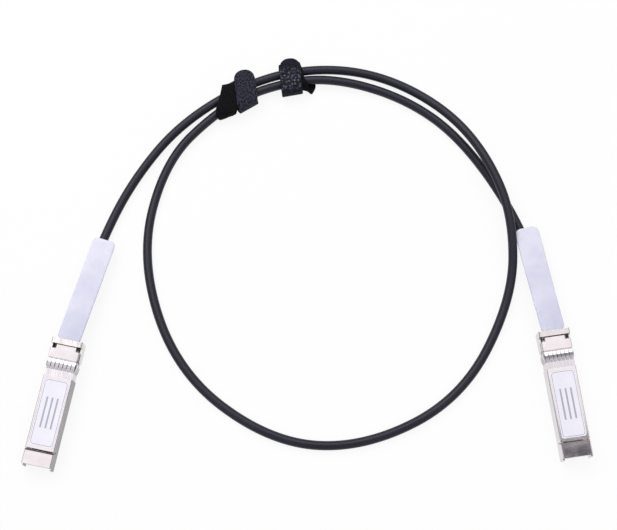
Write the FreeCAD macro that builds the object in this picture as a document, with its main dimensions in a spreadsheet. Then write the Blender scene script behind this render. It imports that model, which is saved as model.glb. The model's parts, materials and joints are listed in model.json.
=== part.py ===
"""Direct attach copper cable: two small pluggable metal plugs on one round twin-axial cable.

Millimetres. Plug A stands in the part's own frame: its nose points along -Y, +Z is up, and the
origin is at its latch shoulder, on the surface that the cable lies on. Stations run along a plug
from that shoulder: positive towards the nose, negative towards the tail.
"""
import FreeCAD, Part
import math
import os
import re
from collections import namedtuple
from FreeCAD import Placement, Rotation, Vector
import Sketcher

doc = FreeCAD.newDocument("CopperCable")

SIZES = [
    # the plug's envelope
    ("tail_reach", 13.5, "latch shoulder to the tail end of the slider"),
    ("nose_reach", 45.0, "latch shoulder to the tips of the nose skirts"),
    ("skirt_tip", 0.8, "nose skirts beyond the nose plate"),
    ("front_width", 13.6, "width of the shoulder bar outside the cage"),
    ("front_height", 8.6, "height of the shoulder bar"),
    ("rear_width", 13.4, "width of the housing inside the cage"),
    ("rear_height", 8.5, "height of the housing inside the cage"),
    ("boss_height", 0.45, "latch boss below the flat underside"),
    ("boss_width", 2.6, "latch boss across the plug"),
    ("boss_length", 2.6, "latch boss along the plug"),
    ("boss_land", 0.5, "flat tip of the latch boss"),
    # the housing
    ("cable_height", 3.75, "cable axis and parting plane above the flat underside"),
    ("tail_width", 12.8, "housing between the slider's arms"),
    ("tail_setback", 0.9, "housing's tail face inside the slider's tail end"),
    ("tongue_height", 6.85, "top of the cover's tongue above the flat underside"),
    ("shoulder_back", 8.6, "latch shoulder back to the shoulder bar"),
    ("shoulder_depth", 4.1, "shoulder bar along the plug"),
    ("waist_depth", 0.45, "recess that the spring fingers sit in"),
    ("wall", 1.2, "side walls and roof"),
    ("floor_plate", 1.3, "floor of the base shell"),
    ("cover_reach", 37.3, "latch shoulder to the nose block"),
    ("cover_gap", 0.3, "groove between cover and nose block"),
    ("nose_bevel", 1.0, "bevel on the nose block's rear edge"),
    ("edge_round", 0.5, "rounding of the housing's long top edges"),
    ("skirt", 0.7, "side skirts round the mouth"),
    ("skirt_drop", 1.4, "skirt tips below the housing's top"),
    ("skirt_lead", 0.35, "lead-in on the outer corners of the skirts"),
    ("mouth_depth", 7.2, "opening in the underside, back from the card's edge"),
    ("mouth_headroom", 2.0, "ceiling of the mouth above the card"),
    # latch slider and its pull tab
    ("slider_sheet", 0.6, "sheet that the slider is folded from"),
    ("slider_gap", 0.1, "running gap between slider and housing"),
    ("bridge_depth", 2.5, "slider's bridge along the plug"),
    ("arm_height", 6.15, "slider's arms above the flat underside"),
    ("arm_end_gap", 0.1, "slider's arms short of the spring fingers"),
    ("bend_round", 0.8, "outside of the slider's upper folds"),
    ("travel", 2.0, "slide of the latch slider"),
    ("cavity_width", 6.3, "actuator cavity in the underside"),
    ("cavity_depth", 0.8, "actuator cavity above the flat underside"),
    ("cavity_end", 4.5, "latch shoulder to the nose end of the cavity"),
    ("tine_width", 1.6, "one tine across the plug"),
    ("tine_reach", 3.7, "latch shoulder to the tips of the tines"),
    ("lug_length", 0.6, "spring lug along the plug"),
    ("lug_reach", 1.2, "spring lug inwards from the arm"),
    ("lug_back", 6.9, "latch shoulder back to the spring lug's tail face"),
    ("spring_length", 4.2, "return spring at rest"),
    ("spring_strip", 0.3, "strip of the return spring, measured across the plug"),
    ("spring_height", 1.0, "return spring's strip width"),
    ("spring_leg_count", 6, "legs of a return spring's zigzag"),
    ("pocket_low", 1.95, "spring pocket above the flat underside"),
    ("pocket_height", 1.4, "spring pocket's height"),
    ("pit_width", 1.9, "open pit above the spring pocket, in from the housing's side"),
    ("tab_width", 10.7, "pull tab"),
    ("tab_length", 49.8, "pull tab beyond the slider"),
    ("tab_thickness", 0.9, "pull tab's sheet"),
    ("tab_flat", 2.0, "level stretch of the tab behind the slider"),
    ("tab_drop", 2.15, "fall of the tab over its length"),
    ("tab_round", 2.5, "far corners of the tab"),
    ("tab_root_gap", 0.6, "tab's root inside the slider's bridge"),
    ("tab_a_turn", -5.5, "pull tab A askew on its slider, degrees"),
    ("tab_b_turn", 3.7, "pull tab B askew on its slider, degrees"),
    # spring-finger gasket
    ("finger_length", 5.1, "one finger from band to tip"),
    ("finger_crest", 0.85, "crest of a finger above the waist"),
    ("finger_dip", 0.1, "start of a finger's crown below its crest"),
    ("finger_toe", 0.35, "finger above the waist where it curls in"),
    ("finger_tip", 0.5, "free tip of a finger above the waist"),
    ("finger_width", 1.5, "one finger"),
    ("finger_pitch", 1.85, "spacing of the fingers"),
    ("top_fingers", 7, "fingers on the top"),
    ("side_fingers", 4, "fingers on each side"),
    ("low_fingers", 2, "fingers beside the actuator cavity, each side"),
    ("low_finger_width", 1.15, "one finger on the underside"),
    ("low_finger_pitch", 1.5, "spacing of the fingers on the underside"),
    ("gasket_sheet", 0.2, "sheet of the gasket"),
    ("band_start", 0.9, "latch shoulder to the band"),
    ("band_depth", 3.0, "band along the plug"),
    # label
    ("label_width", 11.2, "label across the plug"),
    ("label_start", 5.2, "latch shoulder to the label"),
    ("label_margin", 1.4, "label short of the cover's nose end"),
    ("label_sheet", 0.1, "label's thickness"),
    ("label_sink", 0.12, "recess that the label lies in"),
    ("label_round", 1.2, "label's corners"),
    ("label_gap", 0.15, "recess round the label"),
    # card, contacts and wires
    ("card_rise", 2.25, "card above the flat underside"),
    ("card_sheet", 1.0, "card's thickness"),
    ("card_edge_width", 9.2, "card in the mouth"),
    ("card_width", 10.6, "card in the housing"),
    ("card_start", 9.5, "latch shoulder to the card's inner end"),
    ("card_reach", 41.8, "latch shoulder to the card's edge"),
    ("card_tongue", 6.4, "narrow end of the card"),
    ("card_bevel", 0.4, "bevelled corners of the card's edge"),
    ("rib_start", 11.0, "latch shoulder to the rib under the card"),
    ("rib_length", 2.0, "rib under the card"),
    ("contact_count", 10, "contacts on each face of the card"),
    ("contact_pitch", 0.8, "spacing of the contacts"),
    ("contact_width", 0.55, "one contact"),
    ("contact_length", 2.9, "one contact"),
    ("contact_inset", 0.35, "contacts short of the card's edge"),
    ("contact_sheet", 0.05, "plating that stands above the card"),
    ("chip_size", 4.0, "memory chip"),
    ("chip_height", 0.9, "memory chip above the card"),
    ("chip_station", 18.0, "latch shoulder to the chip's middle"),
    ("filter_length", 1.0, "capacitor"),
    ("filter_width", 0.5, "capacitor's width and height"),
    ("filter_station", 27.0, "latch shoulder to the capacitors"),
    ("pair_width", 1.3, "one shielded pair"),
    ("pair_height", 0.9, "one shielded pair"),
    ("pair_inner", 2.9, "inner pairs from the middle"),
    ("pair_outer", 4.5, "outer pairs from the middle"),
    ("pair_end", 12.0, "latch shoulder to the pairs' soldered ends"),
    # cable end and fasteners
    ("cable_diameter", 4.2, "cable jacket"),
    ("cable_gap", 0.1, "clearance round the cable in its hole"),
    ("fit_gap", 0.05, "clearance round a seated round piece"),
    ("inlet_start", 5.5, "latch shoulder back to the end of the jacket"),
    ("ferrule_diameter", 5.0, "crimp ferrule"),
    ("ferrule_length", 4.0, "crimp ferrule"),
    ("mould_length", 5.9, "potting block in front of the ferrule"),
    ("mould_height", 6.3, "top of the potting block above the flat underside"),
    ("mould_gap", 0.1, "potting block to the side walls"),
    ("grommet_neck", 5.0, "grommet in the tail wall"),
    ("grommet_flange", 5.6, "grommet's flange inside the wall"),
    ("grommet_out", 0.5, "grommet beyond the tail face"),
    ("grommet_wall", 1.0, "tail wall in front of the flange"),
    ("flange_depth", 1.2, "grommet's flange along the cable"),
    ("screw_station", 6.8, "latch shoulder to the cover screw"),
    ("screw_diameter", 1.6, "cover screw"),
    ("screw_head", 3.0, "countersunk head"),
    ("head_depth", 0.8, "countersunk head"),
    ("screw_length", 6.0, "cover screw over all"),
    ("screw_gap", 0.05, "clearance round the screw"),
    ("drive_width", 0.9, "recess in the screw's head"),
    ("drive_depth", 0.4, "recess in the screw's head"),
    ("post_diameter", 3.8, "screw posts in both shells"),
    # where the plugs lie
    ("plug_a_x", 0.0, "latch shoulder of plug A"),
    ("plug_a_y", 0.0, "latch shoulder of plug A"),
    ("plug_a_turn", 0.0, "turn of plug A about Z, degrees"),
    ("plug_b_x", 218.6, "latch shoulder of plug B"),
    ("plug_b_y", 49.8, "latch shoulder of plug B"),
    ("plug_b_turn", 20.0, "turn of plug B about Z, degrees"),
    # cable and straps
    ("inlet_run", 20.0, "straight end of the cable's route at each plug"),
    ("strap_sheet", 1.2, "hook-and-loop strap"),
    ("strap_width", 10.0, "strap along the cable"),
    ("strap_gap", 0.3, "strap to cable"),
    ("end_length", 18.3, "strap's free end"),
    ("end_round", 4.5, "rounded tip of a strap's free end"),
    ("wrap_1_length", 15.6, "first wrap across the cables"),
    ("wrap_2_length", 17.0, "second wrap across the cables"),
    ("strap_1_x", 45.2, "first wrap"),
    ("strap_1_y", 142.6, "first wrap"),
    ("strap_1_turn", 33.0, "first wrap, degrees"),
    ("end_1_x", 52.9, "free end of the first strap"),
    ("end_1_y", 148.6, "free end of the first strap"),
    ("end_1_turn", 23.0, "free end of the first strap, degrees"),
    ("strap_2_x", 72.0, "second wrap"),
    ("strap_2_y", 159.5, "second wrap"),
    ("strap_2_turn", 21.0, "second wrap, degrees"),
    ("end_2_x", 71.9, "free end of the second strap"),
    ("end_2_y", 158.6, "free end of the second strap"),
    ("end_2_turn", 21.0, "free end of the second strap, degrees"),
]
ALIASES = {alias for alias, _, _ in SIZES}

sheet = doc.addObject("Spreadsheet::Sheet", "dim")
for row, (alias, number, note) in enumerate(SIZES, start=1):
    sheet.set(f"A{row}", note)
    sheet.set(f"B{row}", str(number))
    sheet.setAlias(f"B{row}", alias)
doc.recompute()

# Heights and stations that several pieces share, as expressions on the sheet
BOTTOM = "boss_height"
PARTING = "(boss_height + cable_height)"
TOP = "(boss_height + rear_height)"
SHOULDER_TOP = "(boss_height + front_height)"
FLOOR = "(boss_height + floor_plate)"
CEILING = "(boss_height + rear_height - wall)"
CARD_LOW = "(boss_height + card_rise)"
CARD_TOP = "(boss_height + card_rise + card_sheet)"
MOUTH_TOP = "(boss_height + card_rise + card_sheet + mouth_headroom)"
ARM_TOP = "(boss_height + arm_height)"
TAIL_FACE = "(tail_setback - tail_reach)"
BAR_START = "(-shoulder_back)"
BAR_END = "(shoulder_depth - shoulder_back)"
BAND_END = "(band_start + band_depth)"
COVER_END = "(cover_reach - cover_gap)"
BRIDGE_END = "(bridge_depth - tail_reach)"
ARM_END = "(shoulder_depth - shoulder_back - arm_end_gap)"
FERRULE_START = "(-inlet_start)"
FERRULE_END = "(ferrule_length - inlet_start)"
MOULD_END = "(ferrule_length - inlet_start + mould_length)"
NOSE_PLATE = "(nose_reach - skirt_tip)"
SKIRT_LEAD = "(nose_reach - skirt_lead)"
MOUTH_START = "(card_reach - mouth_depth)"
SILL_START = "(card_reach - mouth_depth - wall)"
CARD_NECK = "(card_reach - card_tongue)"
LABEL_END = "(cover_reach - cover_gap - label_margin)"
POCKET_START = "(-lug_back - spring_length)"
LUG_END = "(lug_length - lug_back)"
TAIL_HALF = "(tail_width / 2)"
WAIST_HALF = "(rear_width / 2 - waist_depth)"
REAR_HALF = "(rear_width / 2)"
FRONT_HALF = "(front_width / 2)"
INNER_HALF = "(rear_width / 2 - wall)"
ARM_INNER = "(tail_width / 2 + slider_gap)"
ARM_OUTER = "(tail_width / 2 + slider_gap + slider_sheet)"
PAST = "1"  # how far a cutting tool runs past the face that it opens, mm

TOUCH = 1e-3  # how near an edge must be to count as on a height or along an axis

Plug = namedtuple("Plug", "letter x y turn tab_turn")
PLUGS = [
    Plug("a", "plug_a_x", "plug_a_y", "plug_a_turn", "tab_a_turn"),
    Plug("b", "plug_b_x", "plug_b_y", "plug_b_turn", "tab_b_turn"),
]
pieces = {}


def bound(text):
    """An expression on the sheet: each alias gets the sheet's name in front."""
    return re.sub(r"[A-Za-z_]\w*", lambda word: "dim." + word[0] if word[0] in ALIASES else word[0], text)


def value(text):
    return float(sheet.evalExpression(bound(text)))


def bind(thing, prop, text):
    thing.setExpression(prop, bound(text))


def box(name, across, along, up):
    """A Part::Box between two values across the plug, two stations along it and two heights."""
    block = doc.addObject("Part::Box", name)
    bind(block, "Length", f"{across[1]} - ({across[0]})")
    bind(block, "Width", f"{along[1]} - ({along[0]})")
    bind(block, "Height", f"{up[1]} - ({up[0]})")
    bind(block, "Placement.Base.x", across[0])
    bind(block, "Placement.Base.y", f"-({along[1]})")
    bind(block, "Placement.Base.z", up[0])
    return block


def mirrored_box(name, half, along, up):
    return box(name, (f"-{half}", half), along, up)


def rod(name, radius, along, height=PARTING):
    """A cylinder along the plug's axis."""
    bar = doc.addObject("Part::Cylinder", name)
    bar.Placement.Rotation = Rotation(Vector(1, 0, 0), 90)
    bind(bar, "Radius", radius)
    bind(bar, "Height", f"{along[1]} - ({along[0]})")
    bind(bar, "Placement.Base.y", f"-({along[0]})")
    bind(bar, "Placement.Base.z", height)
    return bar


def post(name, radius, station, up):
    """An upright cylinder on the plug's middle line."""
    bar = doc.addObject("Part::Cylinder", name)
    bind(bar, "Radius", radius)
    bind(bar, "Height", f"{up[1]} - ({up[0]})")
    bind(bar, "Placement.Base.y", f"-({station})")
    bind(bar, "Placement.Base.z", up[0])
    return bar


def outline(body, plane, points, offset="0"):
    """A closed sketch of straight lines, each corner held by two distances from the origin."""
    sketch = body.newObject("Sketcher::SketchObject", body.Name + "Sketch")
    origin_plane = next(f for f in body.Origin.OriginFeatures if f.Role == plane)
    sketch.AttachmentSupport = (origin_plane, "")
    sketch.MapMode = "FlatFace"
    bind(sketch, "AttachmentOffset.Base.z", offset)
    corners = [Vector(value(u), value(v), 0) for u, v in points]
    count = len(corners)
    for i in range(count):
        sketch.addGeometry(Part.LineSegment(corners[i], corners[(i + 1) % count]))
    for i in range(count):
        sketch.addConstraint(Sketcher.Constraint("Coincident", i, 2, (i + 1) % count, 1))
    for i, (u, v) in enumerate(points):
        for kind, text, number in (("DistanceX", u, corners[i].x), ("DistanceY", v, corners[i].y)):
            index = sketch.addConstraint(Sketcher.Constraint(kind, -1, 1, i, 1, number))
            bind(sketch, f"Constraints[{index}]", text)
    return sketch


def pad(name, plane, points, start, end):
    """A Body with one pad of an outline between two values along the plane's normal."""
    body = doc.addObject("PartDesign::Body", name)
    feature = body.newObject("PartDesign::Pad", name + "Pad")
    body.removeObject(feature)
    sketch = outline(body, plane, points, start)
    body.addObject(feature)
    feature.Profile = sketch
    bind(feature, "Length", f"{end} - ({start})")
    sketch.Visibility = False
    return body


def section_pad(name, points, along):
    """Pads an outline of (across, height) between two stations."""
    return pad(name, "XZ_Plane", points, along[0], along[1])


def side_pad(name, points, across):
    """Pads an outline of (station, height) between two values across the plug."""
    return pad(name, "YZ_Plane", [(f"-({s})", z) for s, z in points], across[0], across[1])


def plan_pad(name, points, up):
    """Pads an outline of (across, station) between two heights."""
    return pad(name, "XY_Plane", [(x, f"-({s})") for x, s in points], up[0], up[1])


def both_sides(points):
    """Completes an outline given for its right half."""
    return points + [(f"-({u})", v) for u, v in reversed(points)]


def dress(kind, body, prop, amount, wanted):
    """A fillet or chamfer on those edges of a body that wanted() accepts."""
    doc.recompute()
    base = body.Tip
    edges = [f"Edge{i}" for i, edge in enumerate(base.Shape.Edges, start=1) if wanted(edge)]
    feature = body.newObject(f"PartDesign::{kind}", body.Name + kind)
    feature.Base = (base, edges)
    bind(feature, prop, amount)
    return body


def runs_along(edge, axis):
    ends = [vertex.Point for vertex in edge.Vertexes]
    return len(ends) == 2 and (ends[1] - ends[0]).normalize().cross(axis).Length < TOUCH


def at_height(edge, height):
    return abs(edge.CenterOfMass.z - value(height)) < TOUCH


def fuse(name, parts):
    joined = doc.addObject("Part::MultiFuse", name)
    joined.Shapes = parts
    joined.Refine = True
    return joined


def cut(name, base, tools):
    result = doc.addObject("Part::Cut", name)
    result.Base = base
    result.Tool = tools[0] if len(tools) == 1 else fuse(name + "Tools", tools)
    result.Refine = True
    return result


def group(name, parts):
    """Several like solids that count as one piece."""
    together = doc.addObject("Part::Compound", name)
    together.Links = parts
    return together


def place(node, thing, plug):
    """Names a finished piece and puts it where its plug lies."""
    thing.Label = f"{node}_{plug.letter}"
    thing.Placement.Rotation = Rotation(Vector(0, 0, 1), value(plug.turn))
    bind(thing, "Placement.Base.x", plug.x)
    bind(thing, "Placement.Base.y", plug.y)
    bind(thing, "Placement.Rotation.Angle", plug.turn)
    pieces[thing.Label] = thing


# ---------------------------------------------------------------- die-cast housing

def cable_inlet(name):
    """Tools for the hole that holds grommet, cable and ferrule, half in each shell."""
    flange_start = f"({TAIL_FACE} + grommet_wall)"
    flange_end = f"({TAIL_FACE} + grommet_wall + flange_depth)"
    return [
        rod(name + "Neck", "grommet_neck / 2 + fit_gap", (f"{TAIL_FACE} - {PAST}", flange_start)),
        rod(name + "Flange", "grommet_flange / 2 + fit_gap", (flange_start, flange_end)),
        rod(name + "Bore", "cable_diameter / 2 + cable_gap", (flange_end, FERRULE_START)),
        rod(name + "Seat", "ferrule_diameter / 2 + fit_gap", (FERRULE_START, FERRULE_END)),
    ]


def pits(name, width, up):
    """Tools for the two open pits beside the tongue, between the slider's bridge and the shoulder bar."""
    return [
        box(name + side, across, (BRIDGE_END, BAR_START), up)
        for side, across in (("PitL", (f"-{TAIL_HALF} - {PAST}", f"{width} - {TAIL_HALF}")),
                             ("PitR", (f"{TAIL_HALF} - {width}", f"{TAIL_HALF} + {PAST}")))
    ]


def base_shell(plug):
    """Lower shell with the nose block, the skirts round the mouth and the latch boss."""
    name = "Base" + plug.letter.upper()
    plan = both_sides([
        (TAIL_HALF, TAIL_FACE), (TAIL_HALF, BAR_END), (WAIST_HALF, BAR_END), (WAIST_HALF, BAND_END),
        (REAR_HALF, BAND_END), (REAR_HALF, SKIRT_LEAD), (f"{REAR_HALF} - skirt_lead", "nose_reach"),
        (f"{REAR_HALF} - skirt", "nose_reach"), (f"{REAR_HALF} - skirt", NOSE_PLATE),
    ])
    lower = plan_pad(name + "Lower", plan, (BOTTOM, PARTING))
    nose = side_pad(name + "Nose", [
        ("cover_reach", PARTING), ("cover_reach", f"{TOP} - nose_bevel"),
        ("cover_reach + nose_bevel", TOP), (NOSE_PLATE, TOP), (NOSE_PLATE, PARTING),
    ], (f"-{REAR_HALF}", REAR_HALF))
    dress("Fillet", nose, "Radius", "edge_round",
          lambda edge: runs_along(edge, Vector(0, 1, 0)) and at_height(edge, TOP))
    tip = [
        (f"({REAR_HALF} - skirt)", NOSE_PLATE), (REAR_HALF, NOSE_PLATE), (REAR_HALF, SKIRT_LEAD),
        (f"({REAR_HALF} - skirt_lead)", "nose_reach"), (f"({REAR_HALF} - skirt)", "nose_reach"),
    ]
    tip_up = (PARTING, f"{TOP} - skirt_drop")
    skirts = [
        plan_pad(name + "SkirtR", tip, tip_up),
        plan_pad(name + "SkirtL", [(f"-{x}", station) for x, station in tip], tip_up),
    ]
    pockets = [
        box(name + side, across, (POCKET_START, f"{LUG_END} + slider_gap"),
            (f"{BOTTOM} + pocket_low", f"{BOTTOM} + pocket_low + pocket_height"))
        for side, across in (("PocketL", (f"-{TAIL_HALF} - {PAST}", f"lug_reach + slider_gap - {TAIL_HALF}")),
                             ("PocketR", (f"{TAIL_HALF} - lug_reach - slider_gap", f"{TAIL_HALF} + {PAST}")))
    ]
    deep_pits = pits(name, "(lug_reach + slider_gap)", (f"{BOTTOM} + pocket_low", f"{PARTING} + {PAST}"))
    aside = f"({FRONT_HALF} + {PAST})"
    tools = cable_inlet(name) + pockets + deep_pits + [
        mirrored_box(name + "Under", aside, (f"{TAIL_FACE} - {PAST}", BAR_END),
                     ("0", f"{BOTTOM} + slider_sheet + slider_gap")),
        mirrored_box(name + "Waist", aside, (BAR_END, BAND_END), ("0", f"{BOTTOM} + waist_depth")),
        mirrored_box(name + "Cavity", "(cavity_width / 2)", (f"{BAR_END} - {PAST}", "cavity_end"),
                     ("0", f"{BOTTOM} + cavity_depth")),
        mirrored_box(name + "Room", INNER_HALF, (FERRULE_END, SILL_START), (FLOOR, PARTING)),
        mirrored_box(name + "Sill", INNER_HALF, (SILL_START, MOUTH_START), (CARD_LOW, PARTING)),
        mirrored_box(name + "Mouth", f"({REAR_HALF} - skirt)", (MOUTH_START, f"nose_reach + {PAST}"),
                     ("0", MOUTH_TOP)),
    ]
    hollow = cut(name + "Hollow", fuse(name + "Solid", [lower, nose] + skirts), tools)
    boss = side_pad(name + "Boss", [
        ("0", "0"), ("0", f"{BOTTOM} + cavity_depth"), ("boss_length", f"{BOTTOM} + cavity_depth"),
        ("boss_length", BOTTOM), ("boss_land", "0"),
    ], ("-boss_width / 2", "boss_width / 2"))
    rib = mirrored_box(name + "Rib", INNER_HALF, ("rib_start", "rib_start + rib_length"), (FLOOR, CARD_LOW))
    screw_post = post(name + "Post", "post_diameter / 2", "screw_station", (FLOOR, PARTING))
    hole = post(name + "Hole", "screw_diameter / 2 + screw_gap", "screw_station", ("0", PARTING))
    sink = doc.addObject("Part::Cone", name + "Sink")
    bind(sink, "Radius1", "screw_head / 2 + screw_gap")
    bind(sink, "Radius2", "screw_diameter / 2 + screw_gap")
    bind(sink, "Height", "head_depth")
    bind(sink, "Placement.Base.y", "-screw_station")
    bind(sink, "Placement.Base.z", BOTTOM)
    shell = cut(name, fuse(name + "Whole", [hollow, boss, rib, screw_post]), [hole, sink])
    place("base_shell", shell, plug)


def top_cover(plug):
    """Upper shell: tongue under the slider, shoulder bar, waist for the gasket and long roof."""
    name = "Cover" + plug.letter.upper()
    tongue = mirrored_box(name + "Tongue", TAIL_HALF, (TAIL_FACE, BAR_START), (PARTING, f"{BOTTOM} + tongue_height"))
    shoulder = section_pad(name + "Bar", both_sides([
        (TAIL_HALF, PARTING), (TAIL_HALF, f"{ARM_TOP} + slider_gap"),
        (FRONT_HALF, f"{ARM_TOP} + slider_gap"), (FRONT_HALF, SHOULDER_TOP),
    ]), (BAR_START, BAR_END))
    dress("Fillet", shoulder, "Radius", "edge_round",
          lambda edge: runs_along(edge, Vector(0, 1, 0)) and at_height(edge, SHOULDER_TOP))
    waist = mirrored_box(name + "Waist", WAIST_HALF, (BAR_END, BAND_END), (PARTING, f"{TOP} - waist_depth"))
    roof = section_pad(name + "Roof", both_sides([(REAR_HALF, PARTING), (REAR_HALF, TOP)]), (BAND_END, COVER_END))
    dress("Fillet", roof, "Radius", "edge_round",
          lambda edge: runs_along(edge, Vector(0, 1, 0)) and at_height(edge, TOP))
    recess = plan_pad(name + "Recess", both_sides([
        ("(label_width / 2 + label_gap)", "label_start - label_gap"),
        ("(label_width / 2 + label_gap)", f"{LABEL_END} + label_gap"),
    ]), (f"({TOP} - label_sink)", f"({TOP} + {PAST})"))
    dress("Fillet", recess, "Radius", "label_round + label_gap", lambda edge: runs_along(edge, Vector(0, 0, 1)))
    tools = cable_inlet(name) + pits(name, "pit_width", (f"{PARTING} - {PAST}", f"{TOP} + {PAST}")) + [
        mirrored_box(name + "Room", INNER_HALF, (FERRULE_END, f"{COVER_END} - wall"), (PARTING, CEILING)), recess,
    ]
    hollow = cut(name + "Hollow", fuse(name + "Solid", [tongue, shoulder, waist, roof]), tools)
    screw_post = post(name + "Post", "post_diameter / 2", "screw_station", (PARTING, CEILING))
    hole = post(name + "Hole", "screw_diameter / 2 + screw_gap", "screw_station",
                (PARTING, f"{BOTTOM} + screw_length + screw_gap"))
    cover = cut(name, fuse(name + "Whole", [hollow, screw_post]), [hole])
    place("top_cover", cover, plug)


def cover_screw(plug):
    """Countersunk screw from the underside into the cover's post."""
    name = "Screw" + plug.letter.upper()
    head = doc.addObject("Part::Cone", name + "Head")
    bind(head, "Radius1", "screw_head / 2")
    bind(head, "Radius2", "screw_diameter / 2")
    bind(head, "Height", "head_depth")
    bind(head, "Placement.Base.y", "-screw_station")
    bind(head, "Placement.Base.z", BOTTOM)
    shank = post(name + "Shank", "screw_diameter / 2", "screw_station",
                 (f"{BOTTOM} + head_depth", f"{BOTTOM} + screw_length"))
    deep = (BOTTOM, f"{BOTTOM} + drive_depth")
    slots = [
        box(name + "SlotX", ("-drive_width", "drive_width"),
            ("screw_station - drive_width / 6", "screw_station + drive_width / 6"), deep),
        box(name + "SlotY", ("-drive_width / 6", "drive_width / 6"),
            ("screw_station - drive_width", "screw_station + drive_width"), deep),
    ]
    place("cover_screw", cut(name, fuse(name + "Solid", [head, shank]), slots), plug)


def label(plug):
    """Bare label in the recess of the cover."""
    name = "Label" + plug.letter.upper()
    body = plan_pad(name, both_sides([
        ("label_width / 2", "label_start"), ("label_width / 2", LABEL_END),
    ]), (f"({TOP} - label_sink)", f"({TOP} - label_sink + label_sheet)"))
    dress("Fillet", body, "Radius", "label_round", lambda edge: runs_along(edge, Vector(0, 0, 1)))
    place("label", body, plug)


# ---------------------------------------------------------------- spring-finger gasket

def finger_row(name, count, pitch, width, strip_width):
    """A strip of the band with its row of arched fingers, lying flat at height 0."""
    body = plan_pad(name, both_sides([(f"{strip_width} / 2", "band_start"), (f"{strip_width} / 2", BAND_END)]),
                    ("0", "gasket_sheet"))
    first = f"(-({count} - 1) * {pitch} / 2)"
    bends = [  # share of the finger's length from the band, and height of its outer face
        ("0", "gasket_sheet"), ("0.35", "finger_crest - finger_dip"), ("0.62", "finger_crest"),
        ("0.92", "finger_toe"), ("1", "finger_tip"),
    ]
    outer = [(f"-(band_start - {share} * finger_length)", rise) for share, rise in bends]
    inner = [(u, f"{rise} - gasket_sheet") for u, rise in reversed(outer)]
    sketch = outline(body, "YZ_Plane", outer + inner, f"{first} - {width} / 2")
    finger = body.newObject("PartDesign::Pad", name + "Finger")
    finger.Profile = sketch
    bind(finger, "Length", width)
    pattern = body.newObject("PartDesign::LinearPattern", name + "Pattern")
    pattern.Originals = [finger]
    axis = next(f for f in body.Origin.OriginFeatures if f.Role == "X_Axis")
    pattern.Direction = (axis, [""])
    bind(pattern, "Length", f"({count} - 1) * {pitch}")
    bind(pattern, "Occurrences", count)
    body.Tip = pattern
    return body


def seat_row(body, turn, x, z):
    body.Placement.Rotation = Rotation(Vector(0, 1, 0), turn)
    bind(body, "Placement.Base.x", x)
    bind(body, "Placement.Base.z", z)
    return body


def emi_gasket(plug):
    """Spring-finger collar that grounds the housing in its cage, open over the actuator cavity."""
    name = "Gasket" + plug.letter.upper()
    middle = f"{BOTTOM} + rear_height / 2"
    waist_height = "(rear_height - 2 * waist_depth)"
    low_width = "(rear_width / 2 - waist_depth - cavity_width / 2 - slider_gap)"
    low_middle = "((rear_width / 2 - waist_depth + cavity_width / 2 + slider_gap) / 2)"
    rows = [
        seat_row(finger_row(name + "Top", "top_fingers", "finger_pitch", "finger_width",
                            f"(2 * {WAIST_HALF} + 2 * gasket_sheet)"), 0, "0", f"{TOP} - waist_depth"),
        seat_row(finger_row(name + "Right", "side_fingers", "finger_pitch", "finger_width",
                            waist_height), 90, WAIST_HALF, middle),
        seat_row(finger_row(name + "Left", "side_fingers", "finger_pitch", "finger_width",
                            waist_height), -90, f"-{WAIST_HALF}", middle),
        seat_row(finger_row(name + "LowRight", "low_fingers", "low_finger_pitch", "low_finger_width",
                            low_width), 180, low_middle, f"{BOTTOM} + waist_depth"),
        seat_row(finger_row(name + "LowLeft", "low_fingers", "low_finger_pitch", "low_finger_width",
                            low_width), 180, f"-{low_middle}", f"{BOTTOM} + waist_depth"),
    ]
    thick = (f"{BOTTOM} + waist_depth - gasket_sheet", f"{BOTTOM} + waist_depth")
    corners = [
        box(name + side, across, ("band_start", BAND_END), thick)
        for side, across in (("CornerR", (f"{WAIST_HALF} - gasket_sheet", f"{WAIST_HALF} + gasket_sheet")),
                             ("CornerL", (f"-{WAIST_HALF} - gasket_sheet", f"gasket_sheet - {WAIST_HALF}")))
    ]
    place("emi_gasket", fuse(name, rows + corners), plug)


# ---------------------------------------------------------------- latch slider and pull tab

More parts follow.
